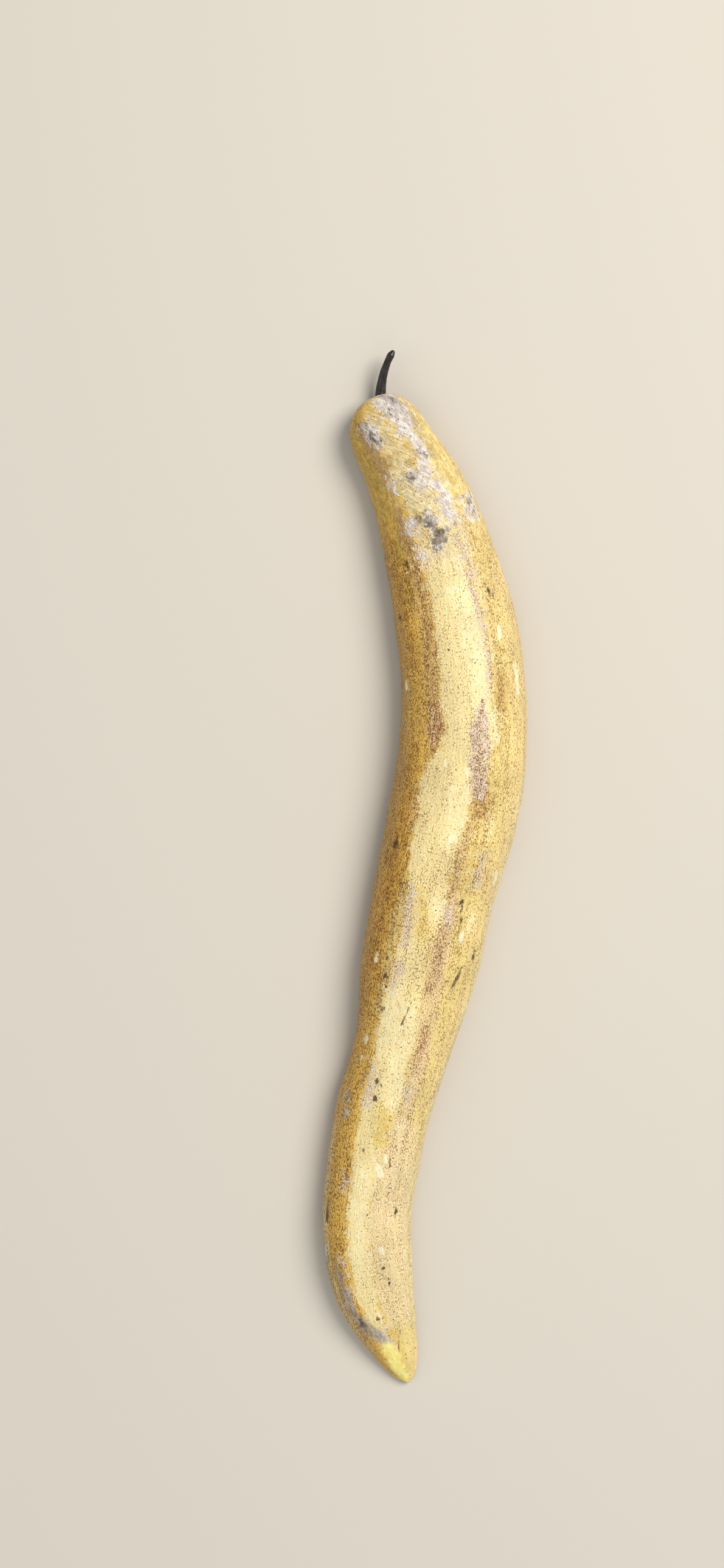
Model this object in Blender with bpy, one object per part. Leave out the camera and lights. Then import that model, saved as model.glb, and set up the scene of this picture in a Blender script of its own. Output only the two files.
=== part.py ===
# A leatherleaf slug of the family Veronicellidae, life size, as a still model.
# Z is up, Y runs from the tail to the head and X to the animal's right.
# The named sizes are in millimetres. The place function turns them into metres.

import math

import bmesh
import bpy
from mathutils import Vector

MM = 0.001
GAP = 0.3

# Midline from head to tail: x, y, width over both rims, height of the back
STATIONS = [
    (-9.3, 76.6, 12.0, 7.6),
    (-5.8, 71.0, 12.8, 7.9),
    (-0.4, 60.5, 16.0, 8.9),
    (3.0, 49.5, 18.3, 9.9),
    (5.5, 38.5, 20.0, 10.8),
    (6.5, 28.5, 20.5, 11.4),
    (6.2, 17.8, 21.1, 11.8),
    (4.3, 7.0, 21.2, 11.8),
    (1.6, -4.0, 19.9, 11.3),
    (-0.9, -16.5, 19.2, 10.6),
    (-3.5, -29.0, 16.0, 9.6),
    (-6.6, -39.3, 15.5, 9.0),
    (-8.5, -49.5, 15.0, 8.6),
    (-9.4, -59.0, 14.3, 8.2),
    (-7.8, -70.5, 13.2, 7.4),
    (-2.4, -84.7, 10.8, 6.2),
]

# Mantle: the leathery back, its rim and its underside
MANTLE_CUTS = [34.0, 68.0, 102.0, 136.0]
MANTLE_NAMES = ["mantle_front", "mantle_fore", "mantle_middle", "mantle_hind", "mantle_tail"]
FRONT_LENGTH = 6.5
FRONT_POWER = 2.2
FRONT_SLOPE = 9.0
TAIL_LENGTH = 22.0
TAIL_POWER = 1.75
TAIL_SLOPE = 28.0
TAIL_SLOPE_POWER = 1.5
BACK_POWER = 2.2
RIM_HEIGHT = 2.3
RIM_DEPTH = 1.5
RIM_ROUNDING = 0.15
HOOD_HEIGHT = 4.0
HOOD_DEPTH = 0.55
HOOD_LENGTH = 13.0
HOOD_EDGE = 2.5
TIP_HEIGHT = 0.9
TIP_DEPTH = 0.45
TIP_LENGTH = 24.0
END_SLICE = 0.04
END_STEPS = 9
BACK_STEPS = 10
RIM_STEPS = 4
UNDER_STEPS = 3
SLICE = 2.8

# Foot: the narrow sole that carries the weight
FOOT_CUTS = [57.0, 109.0]
FOOT_NAMES = ["foot_front", "foot_middle", "foot_rear"]
FOOT_START = 6.6
FOOT_END_SPACE = 3.4
FOOT_SHARE = 0.36
FOOT_HEIGHT = 1.5
FOOT_EDGE = 0.35
FOOT_FRONT_LENGTH = 2.6
FOOT_FRONT_BLUNT = 0.8
FOOT_FRONT_POWER = 2.4
FOOT_REAR_LENGTH = 7.0
FOOT_REAR_HALF = 0.35
FOOT_SLICE = 3.2
FOOT_TURN_STEPS = 6

# Head, in the hollow under the front of the mantle
HEAD_START = 1.8
HEAD_HALF = 3.3
HEAD_TOP = 2.95
HEAD_BOTTOM = 0.35
HEAD_NOSE = 2.6
HEAD_POWER = 2.6
HEAD_TALL_POWER = 0.7
HEAD_WIDENING = 0.06
HEAD_STEPS = 28
HEAD_SLICES = 10
HEAD_SLICE_POWER = 1.6
HOLLOW_HALF = 4.0
HOLLOW_TOP = 3.45
HOLLOW_POWER = 3.5
HOLLOW_ROWS = [-1.5, 0.0, 1.5, 3.0, 4.5]

# Mouth: side, distance from the front and height of its slit, and its half sizes
MOUTH_PLACE = (0.0, 1.85, 0.95)
MOUTH_SIZE = (0.85, 0.5, 0.15)
LIP_SIZE = (0.7, 0.45, 0.38)
LIP_PLACES = [(-0.6, 2.08, 0.72), (0.6, 2.08, 0.72), (0.0, 2.08, 1.36)]

# Upper tentacles: x, y, z and thickness from root to tip, with the bulb last
RIGHT_TENTACLE = [
    (-7.1, 76.4, 2.1, 1.7),
    (-7.15, 77.7, 2.2, 1.85),
    (-7.0, 79.4, 2.55, 1.6),
    (-6.6, 81.3, 3.0, 1.4),
    (-5.95, 83.1, 3.35, 1.2),
    (-5.5, 84.0, 3.5, 1.22),
    (-5.26, 84.4, 3.55, 0.85),
]
LEFT_TENTACLE = [
    (-9.95, 74.6, 2.1, 1.7),
    (-10.15, 74.95, 2.1, 1.6),
    (-10.3, 75.2, 2.1, 1.35),
    (-10.38, 75.32, 2.1, 0.9),
]
TENTACLE_SIDES = 14
TENTACLE_STEPS = 3
EYE_LENGTH = 0.36
EYE_DOME = [(0.0, 1.0), (0.45, 0.9), (0.8, 0.62), (1.0, 0.2)]
COLLAR_WIDER = 0.35
COLLAR_LENGTH = 1.5

# Lower tentacles: side, distance from the front, height and thickness from root to fork
LOWER_TENTACLE = [(1.75, 1.62, 0.72, 0.7), (1.82, 1.3, 0.7, 0.68), (1.9, 1.0, 0.66, 0.64)]
LOWER_COLLAR_LENGTH = 0.8
LOBES = [((2.06, 0.86, 0.62), 0.27), ((1.72, 0.9, 0.74), 0.23)]
SPHERE_SEGMENTS = 14
SPHERE_RINGS = 9

MODEL = "leatherleaf_slug"
SHARP_ANGLE = 50.0

# Surfaces: linear colour and roughness
SURFACES = {
    "back_skin": ((0.62, 0.40, 0.10), 0.42),
    "sole_skin": ((0.62, 0.52, 0.38), 0.35),
    "head_skin": ((0.30, 0.25, 0.19), 0.35),
    "tentacle_skin": ((0.035, 0.03, 0.028), 0.25),
    "eye_black": ((0.01, 0.01, 0.01), 0.1),
}


def catmull_rom(rows, u):
    # Smooth values between the rows, where whole numbers of u are the rows themselves
    i = max(0, min(int(u), len(rows) - 2))
    t = u - i
    b = rows[i]
    c = rows[i + 1]
    a = rows[i - 1] if i > 0 else [2 * p - q for p, q in zip(b, c)]
    d = rows[i + 2] if i + 2 < len(rows) else [2 * q - p for p, q in zip(b, c)]
    out = []
    for p, q, r, s in zip(a, b, c, d):
        bend = (2 * p - 5 * q + 4 * r - s) * t * t + (3 * q - p - 3 * r + s) * t ** 3
        out.append(0.5 * (2 * q + (r - p) * t + bend))
    return out


def measured_midline(steps_each=40):
    # Distance from the front, x, y, width and height, closely spaced along the midline
    rows = []
    distance = 0.0
    for k in range((len(STATIONS) - 1) * steps_each + 1):
        x, y, width, height = catmull_rom(STATIONS, k / steps_each)
        if rows:
            distance += math.hypot(x - rows[-1][1], y - rows[-1][2])
        rows.append((distance, x, y, width, height))
    return rows


MIDLINE = measured_midline()
LENGTH = MIDLINE[-1][0]


def midline(s):
    # Point, backward direction, width and height at distance s, straight on past the ends
    low = 0
    high = len(MIDLINE) - 1
    while high - low > 1:
        middle = (low + high) // 2
        if MIDLINE[middle][0] <= s:
            low = middle
        else:
            high = middle
    a = MIDLINE[low]
    b = MIDLINE[high]
    t = (s - a[0]) / (b[0] - a[0])
    inside = max(0.0, min(1.0, t))
    before = MIDLINE[max(low - 1, 0)]
    after = MIDLINE[min(high + 1, len(MIDLINE) - 1)]
    start = Vector((b[1] - before[1], b[2] - before[2])).normalized()
    end = Vector((after[1] - a[1], after[2] - a[2])).normalized()
    back = start.lerp(end, inside).normalized()
    point = Vector((a[1] + t * (b[1] - a[1]), a[2] + t * (b[2] - a[2])))
    width = a[3] + inside * (b[3] - a[3])
    height = a[4] + inside * (b[4] - a[4])
    return point, back, width, height


def place(s, side, z):
    # World point at distance s from the front, side millimetres to the right, z up
    point, back, _, _ = midline(s)
    right = Vector((-back.y, back.x))
    spot = point + right * side
    return Vector((spot.x, spot.y, z)) * MM


def rounding(s, length, power):
    # Rises from 0 to 1 over the length as a quarter of a rounded square
    left = 1 - max(0.0, min(1.0, s / length))
    return (1 - left ** power) ** (1 / power)


def ease(t):
    t = max(0.0, min(1.0, t))
    return t * t * (3 - 2 * t)


def mantle_sizes(s):
    # Half width, and the heights of the back, the rim and the underside
    _, _, width, height = midline(s)
    to_tip = max(LENGTH - s, 0.0)
    half = width / 2 * rounding(s, FRONT_LENGTH, FRONT_POWER)
    half *= rounding(to_tip, TAIL_LENGTH, TAIL_POWER)
    rim = RIM_HEIGHT + (HOOD_HEIGHT - RIM_HEIGHT) * (1 - ease(s / HOOD_LENGTH))
    rim += (TIP_HEIGHT - RIM_HEIGHT) * (1 - ease(to_tip / TIP_LENGTH))
    depth = RIM_DEPTH + (HOOD_DEPTH - RIM_DEPTH) * (1 - ease(s / HOOD_LENGTH))
    depth += (TIP_DEPTH - RIM_DEPTH) * (1 - ease(to_tip / TIP_LENGTH))
    depth *= rounding(s, HOOD_EDGE, 2)
    rise = (height - rim) * rounding(s, FRONT_SLOPE, FRONT_POWER)
    rise *= rounding(to_tip, TAIL_SLOPE, TAIL_SLOPE_POWER)
    return half, rim + rise, rim, rim - depth


def mantle_section(s):
    half, back, rim, under = mantle_sizes(s)
    outline = []
    for i in range(BACK_STEPS):
        angle = math.pi / 2 * i / BACK_STEPS
        across = half * math.sin(angle) ** (2 / BACK_POWER)
        up = (back - rim) * math.cos(angle) ** (2 / BACK_POWER)
        outline.append((across, rim + up))
    inner = half * (1 - RIM_ROUNDING)
    for i in range(RIM_STEPS + 1):
        angle = math.pi / 2 * i / RIM_STEPS
        across = inner + (half - inner) * math.cos(angle)
        outline.append((across, rim - (rim - under) * math.sin(angle)))
    for i in range(1, UNDER_STEPS + 1):
        outline.append((inner * (1 - i / UNDER_STEPS), under))
    return mirrored(s, outline)


def mirrored(s, outline):
    # The right half runs from the middle of the top to the middle of the bottom
    left = [(-across, up) for across, up in outline[1:-1]]
    return [place(s, across, up) for across, up in outline + left[::-1]]


def mantle_slices():
    # Close together at the two ends, where the outline turns fastest
    counts = range(1, END_STEPS + 1)
    front = [FRONT_LENGTH * (1 - math.cos(math.pi / 2 * i / END_STEPS)) for i in counts]
    tail = [LENGTH - TAIL_LENGTH * (i / END_STEPS) ** 2 for i in reversed(counts)]
    return [END_SLICE] + front + evenly(front[-1], tail[0], SLICE) + tail + [LENGTH - END_SLICE]


def evenly(start, end, slice_length):
    # Distances between two others, about one slice apart
    count = round((end - start) / slice_length)
    return [start + (end - start) * i / count for i in range(1, count)]


def between(slices, start, end):
    inside = [s for s in slices if start + GAP < s < end - GAP]
    return [start] + inside + [end]


def foot_half(s):
    # Half width of the sole, rounded off at both ends
    _, _, width, _ = midline(s)
    end = LENGTH - FOOT_END_SPACE
    front = rounding(s - FOOT_START + FOOT_FRONT_BLUNT, FOOT_FRONT_LENGTH, FOOT_FRONT_POWER)
    taper = rounding(end - s, FOOT_REAR_LENGTH, 2)
    return FOOT_REAR_HALF + (width / 2 * FOOT_SHARE * front - FOOT_REAR_HALF) * taper


def foot_section(s, grown=0.0, floor=0.0):
    half = foot_half(s) + grown
    top = FOOT_HEIGHT + grown
    diagonal = FOOT_EDGE * (1 - math.sqrt(0.5))
    outline = [(0.0, top), (half - FOOT_EDGE, top), (half - diagonal, top - diagonal)]
    outline += [(half, top - FOOT_EDGE), (half, floor + FOOT_EDGE)]
    outline += [(half - diagonal, floor + diagonal), (half - FOOT_EDGE, floor), (0.0, floor)]
    return mirrored(s, outline)


def foot_slices():
    # Close together where the sole rounds off
    end = LENGTH - FOOT_END_SPACE
    turns = [math.pi / 2 * i / FOOT_TURN_STEPS for i in range(FOOT_TURN_STEPS + 1)]
    reach = FOOT_FRONT_LENGTH - FOOT_FRONT_BLUNT
    front = [FOOT_START + reach * (1 - math.cos(turn)) for turn in turns]
    rear = [end - FOOT_REAR_LENGTH * (1 - math.sin(turn)) for turn in turns]
    return front + evenly(front[-1], rear[0], FOOT_SLICE) + rear


def rounded_box(s, half, bottom, top, power, steps):
    # A rounded section between two heights
    centre = (top + bottom) / 2
    tall = (top - bottom) / 2
    points = []
    for i in range(steps):
        angle = 2 * math.pi * i / steps
        wide = abs(math.sin(angle)) ** (2 / power) * math.copysign(1, math.sin(angle))
        high = abs(math.cos(angle)) ** (2 / power) * math.copysign(1, math.cos(angle))
        points.append(place(s, half * wide, centre + tall * high))
    return points


def head_section(s):
    end = FOOT_START - GAP
    full = rounding(s - HEAD_START, HEAD_NOSE, 2)
    middle = (HEAD_TOP + HEAD_BOTTOM) / 2
    tall = (HEAD_TOP - HEAD_BOTTOM) / 2 * full ** HEAD_TALL_POWER
    half = HEAD_HALF * full * (1 + HEAD_WIDENING * (s - HEAD_START) / (end - HEAD_START))
    return rounded_box(s, half, middle - tall, middle + tall, HEAD_POWER, HEAD_STEPS)


def hollow_section(s):
    return rounded_box(s, HOLLOW_HALF, -HOLLOW_TOP, HOLLOW_TOP, HOLLOW_POWER, HEAD_STEPS)


def collection(name):
    found = bpy.data.collections.new(name)
    bpy.context.scene.collection.children.link(found)
    return found


def loft(name, sections, group):
    # A closed skin over sections with equal counts of points, with a flat face at each end
    mesh = bpy.data.meshes.new(name)
    work = bmesh.new()
    rings = [[work.verts.new(point) for point in section] for section in sections]
    count = len(rings[0])
    for near, far in zip(rings, rings[1:]):
        for i in range(count):
            j = (i + 1) % count
            work.faces.new((near[i], near[j], far[j], far[i]))
    work.faces.new(rings[0])
    work.faces.new(rings[-1])
    bmesh.ops.recalc_face_normals(work, faces=work.faces)
    work.to_mesh(mesh)
    work.free()
    thing = bpy.data.objects.new(name, mesh)
    group.objects.link(thing)
    return thing


def tube(name, rows, group, sides=TENTACLE_SIDES, steps_each=TENTACLE_STEPS):
    # A round limb through rows of x, y, z and thickness
    count = (len(rows) - 1) * steps_each
    spots = [catmull_rom(rows, k / steps_each) for k in range(count + 1)]
    sections = []
    for k, (x, y, z, thick) in enumerate(spots):
        before = Vector(spots[max(k - 1, 0)][:3])
        after = Vector(spots[min(k + 1, count)][:3])
        along = (after - before).normalized()
        side = along.cross(Vector((0, 0, 1))).normalized()
        up = side.cross(along)
        ring = []
        for i in range(sides):
            angle = 2 * math.pi * i / sides
            reach = side * math.cos(angle) + up * math.sin(angle)
            ring.append((Vector((x, y, z)) + reach * thick / 2) * MM)
        sections.append(ring)
    return loft(name, sections, group)


def ball(name, spot, half_sizes, group):
    # An ellipsoid turned to face the way the head does
    mesh = bpy.data.meshes.new(name)
    work = bmesh.new()
    bmesh.ops.create_uvsphere(work, u_segments=SPHERE_SEGMENTS, v_segments=SPHERE_RINGS, radius=1)
    bmesh.ops.scale(work, vec=Vector(half_sizes) * MM, verts=work.verts)
    work.to_mesh(mesh)
    work.free()
    thing = bpy.data.objects.new(name, mesh)
    side, s, z = spot
    _, back, _, _ = midline(s)
    thing.location = place(s, side, z)
    thing.rotation_euler = (0, 0, math.atan2(-back.y, -back.x) - math.pi / 2)
    group.objects.link(thing)
    return thing


def boolean(thing, operation, cutter=None, group=None):
    step = thing.modifiers.new(operation.lower(), "BOOLEAN")
    step.operation = operation
    step.solver = "EXACT"
    if group:
        step.operand_type = "COLLECTION"
        step.collection = group
    else:
        step.object = cutter


def applied(thing):
    # The object with its modifiers built into its mesh
    graph = bpy.context.evaluated_depsgraph_get()
    mesh = bpy.data.meshes.new_from_object(thing.evaluated_get(graph))
    thing.modifiers.clear()
    thing.data = mesh
    return thing


def fused(thing, pieces):
    # One closed body out of a piece and a collection of pieces that overlap it
    boolean(thing, "UNION", group=pieces)
    applied(thing)
    for piece in list(pieces.objects):
        bpy.data.objects.remove(piece)
    bpy.data.collections.remove(pieces)
    return thing


def finish(thing, surface):
    thing.data.materials.clear()
    thing.data.materials.append(surface)
    thing.data.shade_smooth()
    thing.data.set_sharp_from_angle(angle=math.radians(SHARP_ANGLE))


def material(name):
    colour, roughness = SURFACES[name]
    surface = bpy.data.materials.new(name)
    surface.use_nodes = True
    shader = surface.node_tree.nodes["Principled BSDF"]
    shader.inputs["Base Color"].default_value = (*colour, 1)
    shader.inputs["Roughness"].default_value = roughness
    shader.inputs["Metallic"].default_value = 0
    return surface


def collar(name, rows, length, group):
    # A short stub that carries a tentacle: its face stands one gap behind the root
    root = Vector(rows[0][:3])
    along = (Vector(rows[1][:3]) - root).normalized()
    face = root - along * GAP
    heel = face - along * length
    thick = rows[0][3]
    stub = [(*heel, thick + COLLAR_WIDER * 2), (*face, thick + COLLAR_WIDER)]
    return tube(name, stub, group, steps_each=1)


def eye(name, rows, group):
    # The dark end of an upper tentacle, one gap past the bulb
    end = Vector(rows[-1][:3])
    along = (end - Vector(rows[-2][:3])).normalized()
    wide = rows[-1][3]
    dome = []
    for share, part in EYE_DOME:
        dome.append((*(end + along * (GAP + EYE_LENGTH * share)), wide * part))
    return tube(name, dome, group, steps_each=1)


def lower_rows(mirror):
    rows = []
    for side, s, z, thick in LOWER_TENTACLE:
        spot = place(s, side * mirror, z) / MM
        rows.append((*spot, thick))
    return rows


def lower_tentacle(name, mirror, group):
    stalk = tube(name, lower_rows(mirror), group, steps_each=2)
    lobes = collection("lobes")
    for (side, s, z), radius in LOBES:
        ball("lobe", (side * mirror, s, z), (radius, radius, radius), lobes)
    return fused(stalk, lobes)


def head(group, cutters):
    start = HEAD_START + END_SLICE
    reach = FOOT_START - GAP - start
    shares = [(i / HEAD_SLICES) ** HEAD_SLICE_POWER for i in range(HEAD_SLICES + 1)]
    body = loft("head", [head_section(start + reach * share) for share in shares], group)
    pieces = collection("head_pieces")
    for spot in LIP_PLACES:
        ball("lip", spot, LIP_SIZE, pieces)
    for rows in (RIGHT_TENTACLE, LEFT_TENTACLE):
        collar("collar", rows, COLLAR_LENGTH, pieces)
    for mirror in (1, -1):
        collar("lower_collar", lower_rows(mirror), LOWER_COLLAR_LENGTH, pieces)
    fused(body, pieces)
    boolean(body, "DIFFERENCE", ball("mouth_cutter", MOUTH_PLACE, MOUTH_SIZE, cutters))
    return body


def mantle(group, cutters):
    # The lengths of the mantle, hollowed out below for the foot and the head
    rows = foot_slices()
    rows = [rows[0] - GAP] + rows + [rows[-1] + GAP]
    groove_cutter = loft("groove_cutter", [foot_section(s, GAP, -GAP) for s in rows], cutters)
    hollow = [hollow_section(s) for s in HOLLOW_ROWS + [FOOT_START]]
    hollow_cutter = loft("hollow_cutter", hollow, cutters)
    edges = [END_SLICE] + MANTLE_CUTS + [LENGTH - END_SLICE]
    slices = mantle_slices()
    lengths = []
    for name, start, stop in zip(MANTLE_NAMES, edges, edges[1:]):
        first = start if start == edges[0] else start + GAP / 2
        last = stop if stop == edges[-1] else stop - GAP / 2
        sections = [mantle_section(s) for s in between(slices, first, last)]
        length = loft(name, sections, group)
        boolean(length, "DIFFERENCE", groove_cutter)
        if name == MANTLE_NAMES[0]:
            boolean(length, "DIFFERENCE", hollow_cutter)
        lengths.append(length)
    return lengths


def foot(group):
    edges = [FOOT_START] + FOOT_CUTS + [LENGTH - FOOT_END_SPACE]
    slices = foot_slices()
    lengths = []
    for name, start, stop in zip(FOOT_NAMES, edges, edges[1:]):
        first = start if start == edges[0] else start + GAP / 2
        last = stop if stop == edges[-1] else stop - GAP / 2
        sections = [foot_section(s) for s in between(slices, first, last)]
        lengths.append(loft(name, sections, group))
    return lengths


def build():
    for thing in list(bpy.data.objects):
        bpy.data.objects.remove(thing)
    group = collection(MODEL)
    cutters = collection("cutters")
    surfaces = {name: material(name) for name in SURFACES}

    for length in mantle(group, cutters):
        finish(length, surfaces["back_skin"])
    for length in foot(group):
        finish(length, surfaces["sole_skin"])
    finish(head(group, cutters), surfaces["head_skin"])
    for name, rows in (("right", RIGHT_TENTACLE), ("left", LEFT_TENTACLE)):
        finish(tube("tentacle_upper_" + name, rows, group), surfaces["tentacle_skin"])
        finish(eye("eye_" + name, rows, group), surfaces["eye_black"])
    for name, mirror in (("right", 1), ("left", -1)):
        finish(lower_tentacle("tentacle_lower_" + name, mirror, group), surfaces["head_skin"])

    for cutter in cutters.objects:
        cutter.hide_render = True
        cutter.display_type = "WIRE"


build()
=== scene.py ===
import math
from functools import partial

import bmesh
import bpy
import numpy as np
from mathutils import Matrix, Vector, kdtree, noise


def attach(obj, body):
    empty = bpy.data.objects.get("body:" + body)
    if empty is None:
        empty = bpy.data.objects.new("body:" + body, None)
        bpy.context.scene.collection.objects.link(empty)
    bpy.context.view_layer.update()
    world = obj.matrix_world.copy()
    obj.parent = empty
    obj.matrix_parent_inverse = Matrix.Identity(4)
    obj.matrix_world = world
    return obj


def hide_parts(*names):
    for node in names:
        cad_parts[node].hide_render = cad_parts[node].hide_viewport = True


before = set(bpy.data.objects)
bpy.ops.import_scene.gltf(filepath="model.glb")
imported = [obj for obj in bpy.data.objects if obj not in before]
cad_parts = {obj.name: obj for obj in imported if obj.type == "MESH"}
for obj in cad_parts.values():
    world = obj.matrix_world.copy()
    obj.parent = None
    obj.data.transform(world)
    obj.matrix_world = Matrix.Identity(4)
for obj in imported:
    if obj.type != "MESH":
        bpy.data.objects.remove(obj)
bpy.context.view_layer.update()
mm = 0.001

# the camera looks straight down; sizes in the picture's own pixels and in millimetres
view = {
    "centrePixel": (595, 1288),
    "originPixel": (697, 1426),
    "mmPerPixel": 0.1,
    "frameHeight": 2576,
    "fieldOfView": 30.0,
    "focusHeight": 2.3,
}
viewX = (view["centrePixel"][0] - view["originPixel"][0]) * view["mmPerPixel"]
viewY = (view["originPixel"][1] - view["centrePixel"][1]) * view["mmPerPixel"]
halfFrame = view["frameHeight"] * view["mmPerPixel"] / 2
viewZ = view["focusHeight"] + halfFrame / math.tan(math.radians(view["fieldOfView"] / 2))

# the animal's midline, head to tail, in millimetres: x, y, width over the rims, height of the back
bodyLine = {
    "stations": [
        (-9.3, 76.6, 12.0, 7.6), (-5.8, 71.0, 12.8, 7.9), (-0.4, 60.5, 16.0, 8.9),
        (3.0, 49.5, 18.3, 9.9), (5.5, 38.5, 20.0, 10.8), (6.5, 28.5, 20.5, 11.4),
        (6.2, 17.8, 21.1, 11.8), (4.3, 7.0, 21.2, 11.8), (1.6, -4.0, 19.9, 11.3),
        (-0.9, -16.5, 19.2, 10.6), (-3.5, -29.0, 16.0, 9.6), (-6.6, -39.3, 15.5, 9.0),
        (-8.5, -49.5, 15.0, 8.6), (-9.4, -59.0, 14.3, 8.2), (-7.8, -70.5, 13.2, 7.4),
        (-2.4, -84.7, 10.8, 6.2),
    ],
    "samples": 1500,
}


def catmullRom(rows, u):
    # smooth values between the rows, for an array of places
    table = np.array(rows, float)
    table = np.vstack([2 * table[0] - table[1], table, 2 * table[-1] - table[-2]])
    i = np.clip(np.floor(u).astype(int), 0, len(rows) - 2)
    t = (u - i)[:, None]
    a, b, c, d = table[i], table[i + 1], table[i + 2], table[i + 3]
    curve = (2 * a - 5 * b + 4 * c - d) * t * t + (3 * b - a - 3 * c + d) * t ** 3
    return 0.5 * (2 * b + (c - a) * t + curve)


linePlaces = np.linspace(0, len(bodyLine["stations"]) - 1, bodyLine["samples"])
lineRows = catmullRom(bodyLine["stations"], linePlaces)
lineSteps = np.linalg.norm(np.diff(lineRows[:, :2], axis=0), axis=1)
lineAlong = np.concatenate([[0.0], np.cumsum(lineSteps)])
lineBack = np.gradient(lineRows[:, :2], axis=0)
lineBack /= np.linalg.norm(lineBack, axis=1)[:, None]
bodyLength = lineAlong[-1]


def lineAt(s, column):
    return np.interp(s, lineAlong, lineRows[:, column])


def backAt(s):
    # the way to the tail, at distances from the front
    back = np.stack([np.interp(s, lineAlong, lineBack[:, k]) for k in (0, 1)], axis=1)
    return back / np.linalg.norm(back, axis=1)[:, None]


def placed(s, side, z):
    # points at a distance s from the front, side to the right and z up, straight on past both ends
    back = backAt(s)
    past = s - np.clip(s, 0, bodyLength)
    x = lineAt(s, 0) + back[:, 0] * past - back[:, 1] * side
    y = lineAt(s, 1) + back[:, 1] * past + back[:, 0] * side
    return np.stack([x, y, z], axis=1) * mm


def asSeen(s, side, z):
    # where the camera sees such a point against the plane of the rims: higher points look further out
    back = backAt(s)
    spots = placed(s, side, z) / mm
    stretch = (z - view["focusHeight"]) / (viewZ - z)
    shift = (spots[:, :2] - np.array([viewX, viewY])) * stretch[:, None]
    along = shift[:, 0] * back[:, 0] + shift[:, 1] * back[:, 1]
    across = shift[:, 1] * back[:, 0] - shift[:, 0] * back[:, 1]
    return s + along, side + across


def rounding(s, length, power):
    left = 1 - np.clip(s / length, 0, 1)
    return (1 - left ** power) ** (1 / power)


def ease(t):
    t = np.clip(t, 0, 1)
    return t * t * (3 - 2 * t)


def noiseAt(x, y, z):
    # one smooth noise value for each vertex, from -1 to 1
    return np.array([noise.noise(Vector(spot)) for spot in zip(x, y, z)])


def tubeMesh(around, rings):
    # a closed tube from a cone primitive, cut into rings; returns it with each point's ring and turn
    work = bmesh.new()
    bmesh.ops.create_cone(
        work, cap_ends=True, cap_tris=True, segments=around, radius1=1, radius2=1, depth=1)
    uprights = [edge for edge in work.edges if abs(edge.verts[0].co.z - edge.verts[1].co.z) > 0.5]
    bmesh.ops.subdivide_edges(work, edges=uprights, cuts=rings - 2, use_grid_fill=True)
    spots = np.array([vert.co[:] for vert in work.verts])
    ring = np.rint((0.5 - spots[:, 2]) * (rings - 1)).astype(int)
    turn = np.arctan2(spots[:, 0], spots[:, 1]) / (2 * math.pi)
    middle = np.hypot(spots[:, 0], spots[:, 1]) < 0.5
    return work, ring, turn, middle


def shown(name, data):
    made = bpy.data.objects.new(name, data)
    bpy.context.scene.collection.objects.link(made)
    return made


def pieceFrom(work, name, points):
    # every point takes its place, and the finished piece joins the scene
    for vert, point in zip(work.verts, points):
        vert.co = point
    bmesh.ops.recalc_face_normals(work, faces=work.faces)
    if work.calc_volume(signed=True) < 0:
        bmesh.ops.reverse_faces(work, faces=work.faces)
    mesh = bpy.data.meshes.new(name)
    work.to_mesh(mesh)
    work.free()
    mesh.shade_smooth()
    return shown(name, mesh)


def pushOut(piece, amounts):
    # moves every point along its normal, by millimetres
    count = len(piece.data.vertices)
    normals = np.empty(count * 3)
    piece.data.vertex_normals.foreach_get("vector", normals)
    spots = np.empty(count * 3)
    piece.data.vertices.foreach_get("co", spots)
    spots = spots.reshape(-1, 3) + normals.reshape(-1, 3) * amounts[:, None] * mm
    piece.data.vertices.foreach_set("co", spots.ravel())
    piece.data.update()


def keep(piece, name, values):
    # a value for each point, which the materials read
    kind = "FLOAT_VECTOR" if values.ndim == 2 else "FLOAT"
    layer = piece.data.attributes.new(name, kind, "POINT")
    layer.data.foreach_set("vector" if values.ndim == 2 else "value", values.ravel().astype(np.float32))


# the mantle: one leathery skin over the whole back, turned under at its rim
mantle = {
    "around": 180,
    "frontRings": 42,
    "middleRings": 330,
    "tailRings": 52,
    "tailRingPower": 1.7,
    "frontLength": 6.5,
    "frontPower": 2.2,
    "frontSlope": 9.0,
    "tailLength": 22.0,
    "tailPower": 1.75,
    "tailSlope": 28.0,
    "tailSlopePower": 1.5,
    "backPower": 2.2,
    "rimHeight": 2.3,
    "rimDepth": 1.5,
    "rimRounding": 0.15,
    "hoodHeight": 4.0,
    "hoodDepth": 0.55,
    "hoodLength": 13.0,
    "hoodEdge": 2.5,
    "tipHeight": 0.9,
    "tipDepth": 0.45,
    "tipLength": 24.0,
    "endSlice": 0.04,
    "thinnest": 0.4,
    "topShare": 0.31,
    "rimShare": 0.085,
    # the hollow under the hood: half width, top, roundness, and where it ends
    "hollowHalf": 4.0,
    "hollowTop": 3.45,
    "hollowPower": 3.5,
    "hollowEnd": (5.5, 3.0),
    # the furrow beside the foot: depth, then where its edges start and how wide they are
    "furrowDepth": 0.8,
    "furrowOuter": (0.15, 0.5),
    "furrowInner": (-0.7, 0.4),
    "furrowFront": (5.0, 2.0),
    "furrowRear": 0.5,
    # how the patterns lie: length of a quarter turn and of the underside against the half width
    "quarterShare": 0.82,
    "underShare": 1.15,
    "girthShare": 0.6,
    "widthShare": 0.4,
    "frontLean": 0.6,
    "leanEnd": 26.0,
    "flankLean": 0.85,
}
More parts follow.
